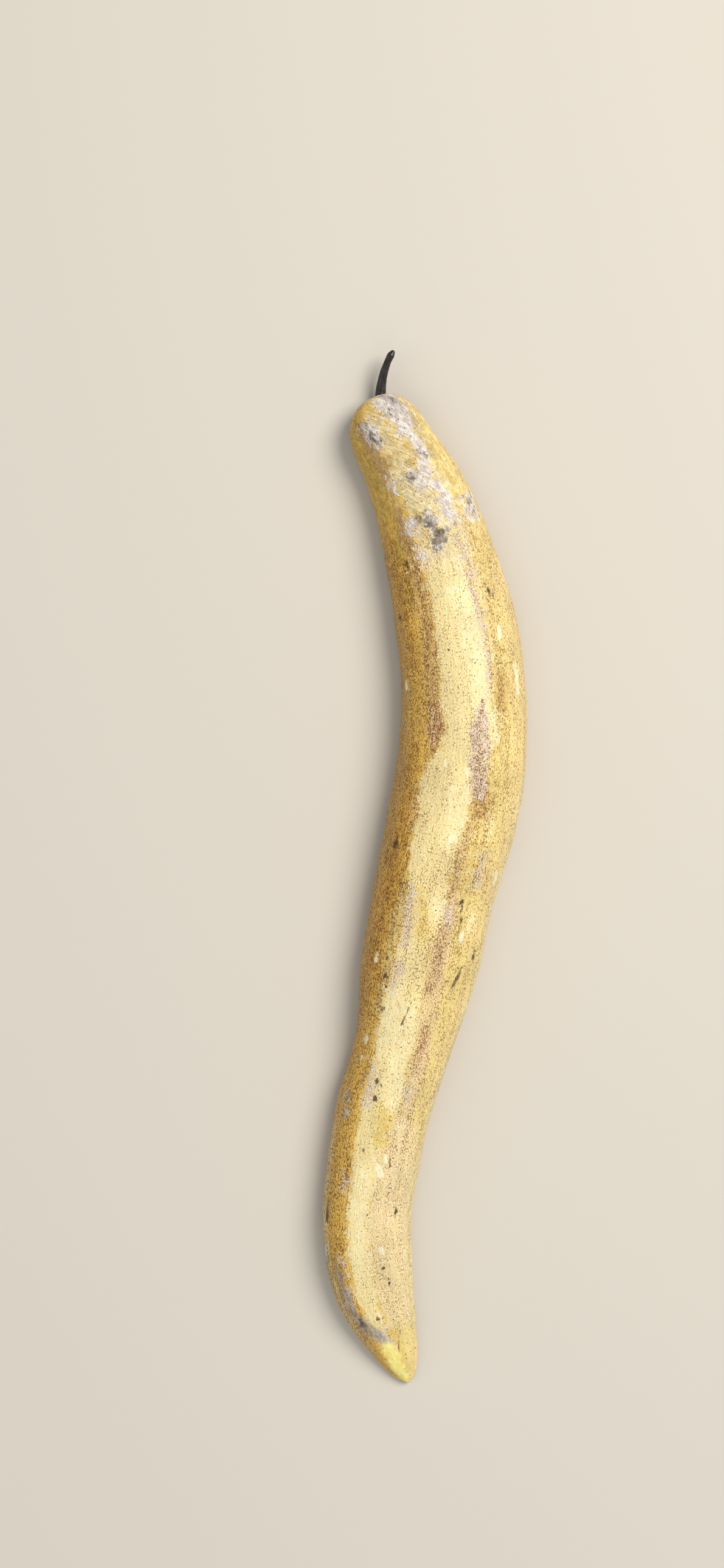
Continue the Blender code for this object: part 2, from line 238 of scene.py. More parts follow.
# relief of the skin: height, length and width of its waves in millimetres, and the noise's own slice
relief = {
    "swells": (0.1, 7.0, 5.0, 3.1),
    "creases": (0.055, 3.4, 1.3, 7.7),
    "pebbles": (0.03, 1.1, 0.75, 11.9),
    "slimeLumps": (0.07, 1.3, 1.1, 23.3),
    "slimeEnd": (20, 9.0),
    "sunk": 0.06,
    "underCalm": 0.6,
    # folds where the body bends inwards: place, lean, half width, and where across they start and how fast
    "folds": [(27.5, 0.9, 0.55, 4.2, 1.0), (114.0, -0.5, 0.6, 4.8, 1.2)],
    "foldSide": 6.0,
    "foldDepth": 0.16,
    # the ridge along the rim and the ditch above it: height at the front, and what the tail adds
    "ridge": (0.05, 0.16),
    "ditch": (0.03, 0.13),
    "ridgeShare": 0.022,
    "ditchShare": 0.055,
    "tailward": (128, 26.0),
}
footSizes = {
    "around": 40,
    "frontSlices": 20,
    "straightSlices": 352,
    "rearSlices": 30,
    "start": 6.2,
    "endSpace": 3.4,
    "share": 0.36,
    "height": 1.55,
    "cornerPower": 0.32,
    "rearLength": 7.0,
    "rearHalf": 0.35,
    "frontLength": 2.6,
    "frontBlunt": 0.1,
    "frontPower": 2.4,
    "ridgeSpacing": 1.3,
    "ridgeDepth": 0.11,
    "ridgeBow": 0.8,
    "ridgeShare": 0.85,
}


def mantleSizes(s):
    width = lineAt(s, 2)
    height = lineAt(s, 3)
    toTip = np.maximum(bodyLength - s, 0)
    half = width / 2 * rounding(s, mantle["frontLength"], mantle["frontPower"])
    half = half * rounding(toTip, mantle["tailLength"], mantle["tailPower"])
    hood = 1 - ease(s / mantle["hoodLength"])
    tip = 1 - ease(toTip / mantle["tipLength"])
    rim = mantle["rimHeight"] + (mantle["hoodHeight"] - mantle["rimHeight"]) * hood
    rim = rim + (mantle["tipHeight"] - mantle["rimHeight"]) * tip
    depth = mantle["rimDepth"] + (mantle["hoodDepth"] - mantle["rimDepth"]) * hood
    depth = depth + (mantle["tipDepth"] - mantle["rimDepth"]) * tip
    depth = depth * rounding(s, mantle["hoodEdge"], 2)
    rise = (height - rim) * rounding(s, mantle["frontSlope"], mantle["frontPower"])
    rise = rise * rounding(toTip, mantle["tailSlope"], mantle["tailSlopePower"])
    return half, rim + rise, rim, rim - depth


def footHalf(s):
    end = bodyLength - footSizes["endSpace"]
    taper = rounding(np.maximum(end - s, 0), footSizes["rearLength"], 2)
    front = s - footSizes["start"] + footSizes["frontBlunt"]
    front = rounding(front, footSizes["frontLength"], footSizes["frontPower"])
    full = lineAt(s, 2) / 2 * footSizes["share"] * front
    return footSizes["rearHalf"] + (full - footSizes["rearHalf"]) * taper


def ringDistances():
    # rings stand closer at the two ends, where the outline turns fastest
    start = mantle["endSlice"]
    front = start + mantle["frontLength"] * (1 - np.cos(np.linspace(0, math.pi / 2, mantle["frontRings"])))
    tail = np.linspace(1, 0, mantle["tailRings"]) ** mantle["tailRingPower"]
    tail = bodyLength - start - mantle["tailLength"] * tail
    middle = np.linspace(front[-1], tail[0], mantle["middleRings"])[1:-1]
    return np.concatenate([front, middle, tail])


def slope(value, place):
    # from 0 to 1, softly: where it starts, and over what length
    return ease((value - place[0]) / place[1])


def mantleSection(s, turn):
    # across and up for every point: over the back, round the rim, then under to the middle
    half, back, rim, under = mantleSizes(s)
    share = np.abs(turn)
    sign = np.where(turn < 0, -1.0, 1.0)
    top = mantle["topShare"]
    edge = top + mantle["rimShare"]
    overBack = np.clip(share / top, 0, 1) * math.pi / 2
    across = half * np.sin(overBack) ** (2 / mantle["backPower"])
    up = rim + (back - rim) * np.clip(np.cos(overBack), 0, 1) ** (2 / mantle["backPower"])
    inner = half * (1 - mantle["rimRounding"])
    roundRim = np.clip((share - top) / (edge - top), 0, 1) * math.pi / 2
    onRim = share > top
    across = np.where(onRim, inner + (half - inner) * np.cos(roundRim), across)
    up = np.where(onRim, rim - (rim - under) * np.sin(roundRim), up)
    beneath = np.clip((share - edge) / (0.5 - edge), 0, 1)
    isUnder = share > edge
    across = np.where(isUnder, inner * (1 - beneath), across)
    arch = np.clip(1 - (np.clip(across / mantle["hollowHalf"], 0, 1)) ** mantle["hollowPower"], 0, 1)
    arch = mantle["hollowTop"] * arch ** (1 / mantle["hollowPower"]) * (1 - slope(s, mantle["hollowEnd"]))
    # a furrow runs beside the foot, and the skin joins it above
    beside = across - footHalf(s)
    groove = (1 - slope(beside, mantle["furrowOuter"])) * slope(beside, mantle["furrowInner"])
    groove = groove * slope(s, mantle["furrowFront"])
    groove = groove * ease(bodyLength - footSizes["endSpace"] + mantle["furrowRear"] - s)
    hollow = np.maximum(under + mantle["furrowDepth"] * groove, arch)
    up = np.where(isUnder, np.minimum(hollow, back - mantle["thinnest"]), up)
    return across * sign, up, beneath


def buildMantle():
    distances = ringDistances()
    work, ring, turn, middle = tubeMesh(mantle["around"], len(distances))
    s = distances[ring]
    across, up, beneath = mantleSection(s, turn)
    half, back, rim, _ = mantleSizes(s)
    across = np.where(middle, 0.0, across)
    up = np.where(middle, rim, up)
    skin = pieceFrom(work, "slugSkin", placed(s, across, up))
    top = mantle["topShare"]
    turn = np.where(middle, top + 0.05, turn)
    # distance round the section from the crown, which the patterns follow
    share = np.abs(turn)
    quarter = (half + (back - rim)) * mantle["quarterShare"]
    below = quarter + (share - top) / (0.5 - top) * half * mantle["underShare"]
    girth = np.where(share < top, share / top * quarter, below)
    girth = (mantle["girthShare"] * girth + mantle["widthShare"] * np.abs(across)) * np.sign(turn)
    flank = ease((np.abs(across) / np.maximum(half, 0.5) - 0.45) / 0.4)

    def waves(name):
        height, long, wide, piece = relief[name]
        return height * noiseAt(s / long, girth / wide, np.full_like(s, piece))

    raised = waves("swells") + waves("creases") * (0.35 + 0.65 * flank) + waves("pebbles")
    # dried slime lies in small lumps on the front
    raised += waves("slimeLumps") * (1 - slope(s, relief["slimeEnd"])) * (1 - flank)
    # faint folds where the body bends inwards, and a soft ridge along the rim
    for place, lean, width, start, ramp in relief["folds"]:
        fold = np.exp(-((s - place - (across + relief["foldSide"]) * lean) / width) ** 2)
        raised -= relief["foldDepth"] * fold * slope(-across, (start, ramp)) * (share < top + 0.02)
    tailward = slope(s, relief["tailward"])
    rimLines = ((relief["ridge"], 0, 1), (relief["ditch"], relief["ditchShare"], -1))
    for (height, more), away, sign in rimLines:
        line = np.exp(-((share - top + away) / relief["ridgeShare"]) ** 2)
        raised += sign * (height + more * tailward) * line
    ends = ease(s / 3.0) * ease((bodyLength - s) / 2.5)
    pushOut(skin, (raised - relief["sunk"]) * ends * (1 - relief["underCalm"] * (beneath > 0)))
    # distance along the skin, so that no pattern is drawn out where the two ends slope down
    fineHalf, fineBack, _, _ = mantleSizes(distances)
    steps = np.sqrt(np.diff(distances) ** 2 + np.diff(fineBack) ** 2 + 0.4 * np.diff(fineHalf) ** 2)
    along = np.interp(s, distances, np.concatenate([[0.0], np.cumsum(steps)]))
    lean = mantle["frontLean"] * np.maximum(mantle["leanEnd"] - s, 0) * (1 - mantle["flankLean"] * flank)
    keep(skin, "lie", np.stack([along, girth, np.zeros_like(s)], axis=1))
    keep(skin, "comb", np.stack([along, girth + lean, np.zeros_like(s)], axis=1))
    keep(skin, "wrinkled", np.maximum(1 - ease((s - 20) / 14), 0.6 * flank * ease((s - 96) / 16)))
    keep(skin, "belly", ease((share - top - 0.02) / 0.08))
    seenAlong, seenAcross = asSeen(s, across, up)
    markSkin(skin, seenAlong, seenAcross, half)
    return skin


# the markings as the camera sees them, in millimetres: distance from the front, then from where to where
# across, with + to the right
markings = {
    "pale": [
        [(26.2, -1.8, 2.6), (29, -3.1, 3.4), (35, -3.3, 3.6), (42, -3.6, 4.2), (50, -3.9, 4.4),
         (54, -3.7, 4.6), (57, -3.1, 5.4), (60, -3.8, 5.2), (62.5, -5.2, 3.2), (65, -6, 2.2),
         (67, -6.5, 2.2), (69, -6.3, 2.3), (72, -5.7, 2.4), (76, -5.8, 2.3), (79, -5.4, 2.2),
         (82, -4.8, 2.3), (85, -4.4, 2.6), (88, -4.2, 2.6), (92, -4, 1.4), (96, -4.2, 1.3),
         (100, -4.5, 1.5), (107, -4.2, 1.8), (113, -3.8, 1.6), (118, -3.8, 2.4), (122, -3.6, 1.6),
         (128, -3.4, 1), (136, -3.2, 1), (145, -3.3, 0.6), (151, -3.2, 0.2), (157, -2.6, -0.4),
         (161, -1.9, -0.2)],
    ],
    # painted highlight: the wet sheen's bright patches on the pale band and the flanks, drawn as lighter
    # cream
    "bright": [
        [(20.6, 0.9, 2.6), (22, 0.8, 3), (23.6, 1.4, 2.8)],
        [(24.8, 2.2, 3.2), (27, 0.6, 3.3), (30, -0.6, 3)],
        [(33, -0.6, 2.4), (40, 0.4, 3.4), (48, 1, 3.7), (53, 1.6, 3)],
        [(66, -1.4, 1.9), (72, -0.8, 2.2), (76.5, -0.6, 1.2)],
        [(85, -0.6, 2), (86.6, -0.6, 2.4), (88.6, 0.6, 2.2)],
        [(69.8, 6, 6.9), (71.6, 5.8, 7), (73.2, 6.1, 6.8)],
        [(53.8, 4.4, 5.4), (56, 4.3, 5.7), (58.4, 4.7, 5.6)],
        [(86, 6.6, 7.3), (88, 6.5, 7.5), (89.8, 6.8, 7.4)],
        [(101, -4.6, -2), (107, -4.7, -1.8), (113, -4.2, -2.2)],
        [(103, -2, 1.2), (108, -2.2, 1.4), (114, -1.6, 1.4), (117, -0.8, 2.3), (119.4, -0.6, 2.6),
         (121.2, 0.8, 1.6)],
        [(130, -2.6, -0.6), (138, -2.6, -0.2), (148, -2.4, -0.6)],
    ],
    "brown": [
        [(3, -3.6, -2.4), (6, -3.9, -1.9), (9, -3.9, -2.1), (12, -4.2, -2.8), (14, -4.5, -3.2),
         (20, -4.9, -3.7), (28, -5.2, -3.3), (36, -5.7, -3.3), (42, -6, -3.6), (50, -6.4, -3.9),
         (57, -5.6, -3), (60, -5.6, -4), (63.5, -6, -5.3)],
        [(67.5, -7, -6.2), (71, -7, -5.6), (75, -6.9, -5.8)],
        [(65, 3.4, 4.8), (67.4, 3, 5.6), (69.4, 3, 5.8), (71.2, 3.4, 4.8)],
    ],
    "blush": [
        [(72, 2.5, 3.1), (76, 2.2, 3.4), (81, 2.4, 3.5), (86, 2.5, 3.4)],
        [(89.2, 2.2, 3.8), (94, 2.2, 4), (98, 2.1, 3.6), (101, 1.8, 3)],
        [(106, 2.5, 3.4), (110, 2.4, 4.2), (114, 2.9, 3.8)],
        [(52.6, -6.4, -4), (56, -6, -3.4), (59.6, -5.8, -4)],
    ],
    "rust": [
        [(60, -8.6, -7.4), (66, -9.2, -7.6), (72, -9.6, -7), (78, -9.6, -6), (84, -9.4, -5.6),
         (90, -9.2, -6.2), (96, -9, -6.2), (101, -8.4, -6.2), (106, -8, -6.6)],
        [(20, -8, -6.4), (28, -8.6, -7), (38, -8.8, -7.4), (46, -8.8, -7.6)],
    ],
    # darker gold: the long band along the left rim is painted shade of the flank turned away from the
    # light, and the patch on the right flank is the skin's own colour
    "shade": [
        [(47.5, 5.5, 6.5), (50, 4.9, 7.2), (53.5, 5.1, 6.9)],
        [(145, -7.4, -5.9), (152, -6.7, -5.2), (158, -5.3, -3.8), (162, -3.9, -2.8)],
        [(26, -9.6, -8.3), (40, -10.4, -9.2), (60, -11, -9.6), (80, -10.4, -9.2), (96, -9.4, -8.2),
         (110, -8.6, -7.6)],
    ],
    "bruise": [
        [(2.4, -4, -3.1), (6, -4.3, -2.9), (9, -4.2, -2.5), (13, -4.4, -3.2)],
        [(18.8, -4.6, -3.6), (21, -5.3, -3.9), (23.5, -5.4, -4.1), (26, -4.8, -3.9)],
    ],
    "lozenge": [
        [(51.8, 3.1, 3.5), (55, 1.8, 3.9), (58, 1.1, 4.3), (61, 1.1, 4.6), (64, 1.5, 4.4), (66, 2, 4.5),
         (68, 2.6, 4.2)],
    ],
    "tan": [
        [(84, 1.2, 4.4), (90, 1.4, 4.4), (96, 1.2, 4.6), (104, 1.8, 4.6), (112, 1.7, 4.8), (120, 2.2, 5),
         (126, 2.2, 4.8), (132, 2.6, 4.6), (140, 2.6, 4.2)],
    ],
    "gold": [
        [(28, 4.4, 6.6), (40, 4.5, 7), (50, 4.6, 7.4), (56, 5.4, 7.2), (62, 4.6, 6.8), (70, 2.6, 6.8),
         (80, 1.2, 6.6), (86, 4.2, 6.2), (94, 4.6, 5.8)],
    ],
    "straw": [
        [(3, -2.2, 0.8), (7, -2.4, 1.4), (10, -2.6, 2.4), (14, -2.7, 2.2), (18, -2.8, 2.2), (20.5, -2, 2)],
        [(83, -5.4, -4.4), (88, -6, -4.4), (94, -6, -4), (100, -5.8, -4), (106, -5.8, -4.2)],
        [(2.5, 4.4, 6.4), (8, 4.4, 7.4), (16, 4.2, 8.4), (26, 4.8, 9.2), (32, 6.2, 9.4)],
    ],
    "olive": [
        [(9, -2.2, 2.4), (12, -2.4, 2.2), (14.5, -1.8, 1.2)],
        [(0.8, -5.2, -2.6), (7, -6.4, -3.4), (14, -7.6, -3.6), (22, -8.6, -3.8), (30, -8.8, -4.4),
         (35, -8, -5)],
    ],
    "creamPatch": [
        [(11.8, -2, -0.4), (14.5, -2.6, 0.4), (17, -2.6, 2), (19.8, -1.8, 2.4), (21.2, 0.6, 2.4)],
        [(22.6, 1.2, 2.7), (24.6, 2, 3.2), (28, 0.8, 3.2), (31.5, 1.4, 3.2)],
    ],
    "slime": [
        [(0.2, 0.8, 3.2), (1.2, 0.6, 4.2), (3, 0.9, 5.2), (5, 1.3, 5.1), (7, 1.6, 4.6), (8.6, 1.7, 4.4)],
        [(8.4, 2.9, 4.2), (10, 2.6, 4.4), (12.5, 2.3, 4.2), (14.5, 1.6, 3.7), (16.2, 2.2, 3.8)],
        [(16, 2.4, 4), (18.2, 2.4, 4.7), (20.6, 2.6, 4.9), (23.2, 3, 4.6)],
        [(2.6, -3.2, -1.6), (4, -3.5, -1), (5.6, -3.2, -1), (7.4, -3, -1.6)],
        [(12.8, -3.3, -2.7), (14.2, -3.9, -2.6), (15.4, -3.4, -2.8)],
        [(13.6, 0.2, 1.8), (14.8, 0, 2.2), (16.4, 0.6, 2.4)],
        [(20, -2.9, -2), (21.4, -3.7, -2.2), (22.8, -4.3, -2.4), (23.8, -3.6, -2.6)],
        [(20.8, -1, 0.6), (22.2, -0.9, 1.1), (23.6, -0.4, 1)],
        [(20.2, 6.5, 7.9), (22.2, 6.3, 8.2), (24, 6.6, 7.8)],
        # these three strokes on the tail's left are painted highlight, whitish sheen drawn like slime
        [(145.4, -5, -4.2), (146.4, -5, -4), (147.4, -4.8, -4.2)],
        [(150.2, -4.9, -4.2), (152.6, -5.3, -4.2)],
        [(157.6, -1.8, -0.6), (159, -1.6, -0.3), (160.2, -1.2, -0.2)],
        [(26.2, -3.4, -2.4), (27.4, -3.6, -2.4), (28.6, -3.2, -2.6)],
    ],
    "lilac": [
        [(25, 3.2, 4.4), (30, 3.6, 4.6), (36, 3.7, 4.7), (44, 3.9, 4.7), (52, 3.7, 4.4)],
        [(84, -4.3, -3.6), (86.6, -4.2, -2.6), (90, -3.8, -2.4), (94, -3.4, -2.6)],
        [(96.5, -3.8, -2.6), (99, -3.9, -2.4), (102, -3.7, -2.8)],
        [(114.4, -3.9, -3.2), (118, -3.9, -2.5), (121.2, -3.3, -2.4)],
        [(86, 2.6, 3.6), (87.6, 2.1, 4.2), (89.2, 2.6, 3.7)],
        [(76, 6, 6.8), (79, 5.7, 7.3), (82, 5.9, 6.8)],
        [(132.2, -4.6, -3.9), (133.8, -4.8, -3.6), (135, -4.4, -3.8)],
        [(116.2, 2.8, 3.4), (117.6, 2.5, 4), (118.8, 2.9, 3.6)],
    ],
    "hindCream": [
        [(122, 1.6, 5.6), (130, 0.2, 7.6), (150, 0, 7.2), (158, 0.4, 5)],
    ],
    "slimeThin": [
        [(1, -2.4, 2), (5, -2.4, 1.8), (8, -2.6, 2), (12, -2.8, 2.6), (16, -3, 2.4), (20, -3.4, 3)],
        [(20, -3.8, 3.4), (24, -3.8, 3.4), (27.5, -3.4, 3), (29.5, -3, 1.6)],
        [(22, 3.8, 6.4), (26, 4.2, 6.2), (30, 4.4, 5.8), (38, 4.4, 5.4)],
        [(57, 2, 3.9), (61, 1.8, 4.2), (64, 2.2, 4)],
    ],
    "ochre": [
        [(84.2, -2.8, -2), (86, -2.7, -1), (88.2, -2.5, 0), (90.4, -2, 0.5), (92.6, -1.2, 0.3)],
        [(120.4, -0.2, 0.5), (122.2, -1, 1.8), (125, -0.9, 1.9), (127.4, 0, 0.9)],
        [(4.4, -1.2, 0.6), (6.6, -1, 1.4), (9.4, -0.6, 2), (12, -0.4, 2)],
    ],
}
# short strokes: every point is along, across, half width, in millimetres
strokes = {
    "mud": [
        [(20.8, -0.5, 0.3), (21.8, 0, 0.9), (23, 0.3, 0.8)],
        [(24.2, 0.7, 0.9), (25.6, 0.5, 1.4), (26.7, -0.3, 0.6)],
        [(24.6, 1.6, 0.5), (24.4, 2.5, 0.2), (23.4, 3.3, 0.12)],
        [(2.9, -2.5, 0.5), (4.6, -2.2, 0.7), (6.6, -2.3, 0.5)], [(13.6, -0.3, 0.4), (14.9, -0.1, 0.35)],
        [(10.8, 3.6, 0.4), (12.3, 3.7, 0.45)], [(2.2, 3.6, 0.3), (3.4, 2.2, 0.25)],
        [(20.4, 7.3, 0.3), (22.6, 7.2, 0.4)], [(121.4, -6.1, 0.25), (123.4, -5.9, 0.2)],
        [(119.9, -6.6, 0.2), (121.2, -6.4, 0.2)], [(143.4, -7.2, 0.25), (144.6, -7.1, 0.2)],
    ],
    "smear": [
        [(147, -5.4, 0.35), (150, -4.9, 0.55), (153.5, -4.4, 0.65), (155.6, -3.6, 0.85), (157.4, -2.6, 1),
         (159, -1.4, 0.8), (159.8, -0.6, 0.4)],
    ],
    "mudDark": [
        [(20.4, -1.6, 0.3), (21.6, -1.3, 0.5), (22.6, -0.5, 0.5), (23.1, 0.2, 0.3)],
        [(24.2, 1.5, 0.45), (24.9, 0.7, 0.7), (25.7, 0, 0.55), (26.5, -1, 0.4)],
        [(13.7, -0.5, 0.16), (14.6, -0.2, 0.26)], [(4, -2.9, 0.1), (6.8, -2.5, 0.12)],
        [(155, -3.9, 0.16), (156.6, -3.3, 0.22)],
    ],
    "scratches": [
        [(102.7, -0.05, 0.08), (106.8, -0.95, 0.13)],
        [(95.4, 7, 0.14), (97.4, 6.6, 0.24), (99.3, 5.9, 0.12)], [(128.4, 2.55, 0.1), (130.2, 2.8, 0.13)],
        [(133.6, 1.15, 0.06), (136, 0.8, 0.05), (138.6, 0.1, 0.1)],
        [(158.6, 1.9, 0.05), (160.2, 1, 0.09), (162.2, 0.2, 0.06)],
        [(76.6, 6.5, 0.07), (77.6, 6.3, 0.05), (78.7, 5.8, 0.08)],
        [(17.5, 2.3, 0.04), (19.2, 2.3, 0.05), (20.6, 2.6, 0.03)], [(3.1, 1.8, 0.04), (3.9, 2.2, 0.05)],
        [(105.2, 1.2, 0.06), (106.8, 1.3, 0.06)], [(88.6, 3.4, 0.08), (90.4, 3.1, 0.06)],
        [(92.2, 8.4, 0.1), (93.8, 8.6, 0.12)],
    ],
    "creamSpots": [
        [(90.1, 6, 0.34), (91.3, 6, 0.34)], [(109.6, -6.1, 0.26), (111.2, -6.1, 0.26)],
        [(113.8, -5.9, 0.24), (114.5, -5.9, 0.2)], [(96, -7.2, 0.2), (97.2, -7.2, 0.2)],
        [(130.3, 1, 0.45), (131.6, 1.4, 0.55)], [(41.2, 6.9, 0.26), (42.8, 6.9, 0.26)],
        [(74.9, 0.7, 0.5), (75.7, 0.7, 0.5)], [(48.4, -9.4, 0.16), (50, -9.4, 0.16)],
        # on the next line the first stroke, along the right rim from 46.8 to 51 mm, is painted highlight of
        # the wet rim; the others are the skin's own cream spots
        [(46.8, 8.9, 0.24), (51, 9, 0.26)], [(78.4, 9.3, 0.18), (80.6, 9.3, 0.18)],
        [(128.4, 2, 0.24), (129.4, 1.9, 0.26)], [(144.2, 2.1, 0.3), (145.2, 2.4, 0.34)],
        [(25.4, -3.8, 0.05), (28.4, -4.5, 0.06), (29.4, -5.9, 0.06)],
        [(62.7, -2.6, 0.3), (63.3, -2.6, 0.3)], [(63.4, 1, 0.3), (64.6, 1.5, 0.34)],
    ],
    "freshTail": [
        [(160.2, -1.2, 0.7), (162, -1, 1.1), (164, -0.8, 1.1), (166.4, -0.3, 0.7)],
    ],
}
# along, across, half length, half width, turn in degrees
darkSpots = [
    (28.2, -5.6, 0.7, 0.3, 0), (36.6, -8.7, 0.55, 0.3, 0), (35.6, 6.5, 0.6, 0.22, 10),
    (36.4, 7, 0.5, 0.18, 0), (62.5, 4.6, 0.3, 0.26, 0), (77.8, -8, 0.85, 0.28, 0),
    (78.8, -8.3, 0.4, 0.2, 0), (84.8, 4.85, 0.42, 0.26, 0), (86.2, 5.2, 0.6, 0.26, 0),
    (88, 5.3, 0.9, 0.13, 0), (93.2, 8.6, 0.6, 0.18, -8), (96.4, -5.5, 0.34, 0.26, 0),
    (99.4, -5.1, 0.5, 0.42, 20), (99.8, -4.7, 0.42, 0.3, 0), (101, -4.5, 0.26, 0.24, 0),
    (104.7, -4.5, 0.28, 0.26, 0), (92.4, 1, 0.26, 0.2, 0), (98.7, 0.1, 0.2, 0.18, 0),
    (99.9, 0.5, 0.2, 0.2, 0), (117, -2.25, 0.5, 0.32, 50), (117.3, -1.5, 0.3, 0.24, 0),
    (119.7, -1.8, 0.6, 0.3, 15), (120.6, -1.5, 0.3, 0.2, 0), (128.2, -1.8, 0.3, 0.2, 0),
    (134.5, 3.2, 0.32, 0.22, 0), (137.6, 4.8, 0.5, 0.18, 0), (138.5, -6.6, 0.85, 0.26, 0),
    (147.7, 2.2, 0.36, 0.26, 0), (150, 2.5, 0.55, 0.2, 0), (43.6, -1.95, 0.3, 0.22, 0),
    (46.3, 2.3, 0.2, 0.2, 0), (52.3, 3, 0.24, 0.2, 0), (155.6, -0.9, 0.3, 0.2, 0),
]
# how thick the fine brown speckling stands: on plain skin, then what each marking or region makes of it
speckling = {
    "skin": 0.44,
    "right": -0.06,
    "left": 0.12,
    "pale": 0.27,
    "golden": 0.46,
    "brown": 0.56,
    "bright": -0.12,
    # fewer specks show under the painted highlight
    "dimBand": 0.11,
    "bandLeft": 0.07,
    "blush": 0.12,
    "lilac": 0.06,
    "hind": -0.09,
    "frontLoss": 0.72,
    "tailLoss": 0.7,
}
# past this distance the pale band is dim, down to the second one
dimBand = (78, 101)


def bandField(s, across, rows):
    # how deep a point lies inside a band, in millimetres
    table = np.array(rows)
    left = np.interp(s, table[:, 0], table[:, 1])
    right = np.interp(s, table[:, 0], table[:, 2])
    ends = np.minimum(s - table[0, 0], table[-1, 0] - s)
    return np.maximum(np.minimum(np.minimum(across - left, right - across), ends), -9)


def spotField(s, across, spots):
    # the same for ellipses
    best = np.full_like(s, -9.0)
    for along, side, halfLength, halfWidth, turn in spots:
        angle = math.radians(turn)
        a = (s - along) * math.cos(angle) + (across - side) * math.sin(angle)
        b = (across - side) * math.cos(angle) - (s - along) * math.sin(angle)
        depth = (1 - np.sqrt((a / halfLength) ** 2 + (b / halfWidth) ** 2)) * min(halfLength, halfWidth)
        best = np.maximum(best, depth)
    return best


def strokeField(s, across, rows):
    # the same for a brush stroke that runs through its points
    best = np.full_like(s, -9.0)
    for (s0, v0, w0), (s1, v1, w1) in zip(rows[:-1], rows[1:]):
        long, wide = s1 - s0, v1 - v0
        t = np.clip(((s - s0) * long + (across - v0) * wide) / (long * long + wide * wide), 0, 1)
        away = np.hypot(s - s0 - t * long, across - v0 - t * wide)
        best = np.maximum(best, w0 + (w1 - w0) * t - away)
    return best


def markSkin(skin, s, across, half):
    fields = {}
    for name, bands in markings.items():
        fields[name] = np.max([bandField(s, across, rows) for rows in bands], axis=0)
    for name, rows in strokes.items():
        fields[name] = np.max([strokeField(s, across, row) for row in rows], axis=0)
    fields["darkSpots"] = spotField(s, across, darkSpots)
    # a pale line follows the rim, on the right from the middle on and on the left near the tail
    inset = np.where(across > 0, half - across, half + across)
    shown = np.where(across > 0, ease((s - 58) / 10), ease((s - 118) / 10)) * ease((164 - s) / 6)
    fields["rimLine"] = 0.3 - np.abs(inset - 0.35) - 0.8 * (1 - shown)
    # the band is dim past the middle, and thin slime covers its part of the skin only in threads
    dimEnd = 1 - ease((s - dimBand[1]) / 5)
    fields["pale"] -= 0.15 * ease((s - dimBand[0] + 1) / 3) * dimEnd
    fields["slimeThin"] -= 0.75
    for name, values in fields.items():
        keep(skin, name, values)
    share = across / np.maximum(half, 0.3)
    keep(skin, "sideShare", share)
    keep(skin, "flank", ease((np.abs(share) - 0.42) / 0.2))

    def inside(values, edge, width):
        # 1 well inside a marking, 0 outside it
        return ease((values + edge) / width)

    paleness = inside(fields["pale"], 0.3, 0.6)
    browned = inside(np.maximum(fields["brown"], fields["lozenge"]), 0.4, 0.8)
    golden = inside(np.maximum(fields["gold"], fields["tan"]), 0.5, 1.0)
    density = speckling["skin"] + speckling["right"] * ease((share - 0.5) / 0.3)
    density += speckling["left"] * ease((-share - 0.3) / 0.3)
    for goal, weight in (("pale", paleness), ("golden", golden * 0.8), ("brown", browned)):
        density += (speckling[goal] - density) * weight
    # the painted highlight lets fewer specks show through
    density += speckling["bright"] * inside(fields["bright"], 0.3, 0.6)
    density += speckling["dimBand"] * paleness * ease((s - dimBand[0]) / 5) * dimEnd
    leftEdge = ease((-across - 1.5) / 2) * ease((s - 62) / 3) * (1 - ease((s - 80) / 4))
    density += speckling["bandLeft"] * paleness * leftEdge
    for name in ("blush", "lilac"):
        density += speckling[name] * inside(fields[name], 0.5, 0.8)
    density += speckling["hind"] * ease((s - 124) / 8) * ease((across + 4) / 1.5)
    density *= 1 - speckling["frontLoss"] * ease((28 - s) / 8)
    density *= 1 - speckling["tailLoss"] * ease((s - 157) / 5)
    keep(skin, "speckling", density)


def toLinear(code):
    # sRGB hex to the linear colour that a shader takes
    parts = [int(code[i:i + 2], 16) / 255 for i in (1, 3, 5)]
    return tuple(p / 12.92 if p <= 0.04045 else ((p + 0.055) / 1.055) ** 2.4 for p in parts) + (1.0,)


def addNode(tree, kind, settings=None):
    # a setting is a property, an input's value or what feeds an input: a socket, or a node's first socket
    made = tree.nodes.new("ShaderNode" + kind)
    for key, value in (settings or {}).items():
        if isinstance(value, bpy.types.Node):
            value = value.outputs[0]
        if isinstance(value, bpy.types.NodeSocket):
            tree.links.new(value, made.inputs[key])
        elif isinstance(key, str) and hasattr(made, key):
            setattr(made, key, value)
        else:
            made.inputs[key].default_value = value
    return made


def newMaterial(name):
    material = bpy.data.materials.new(name)
    material.use_nodes = True
    tree = material.node_tree
    return material, tree, tree.nodes["Principled BSDF"]


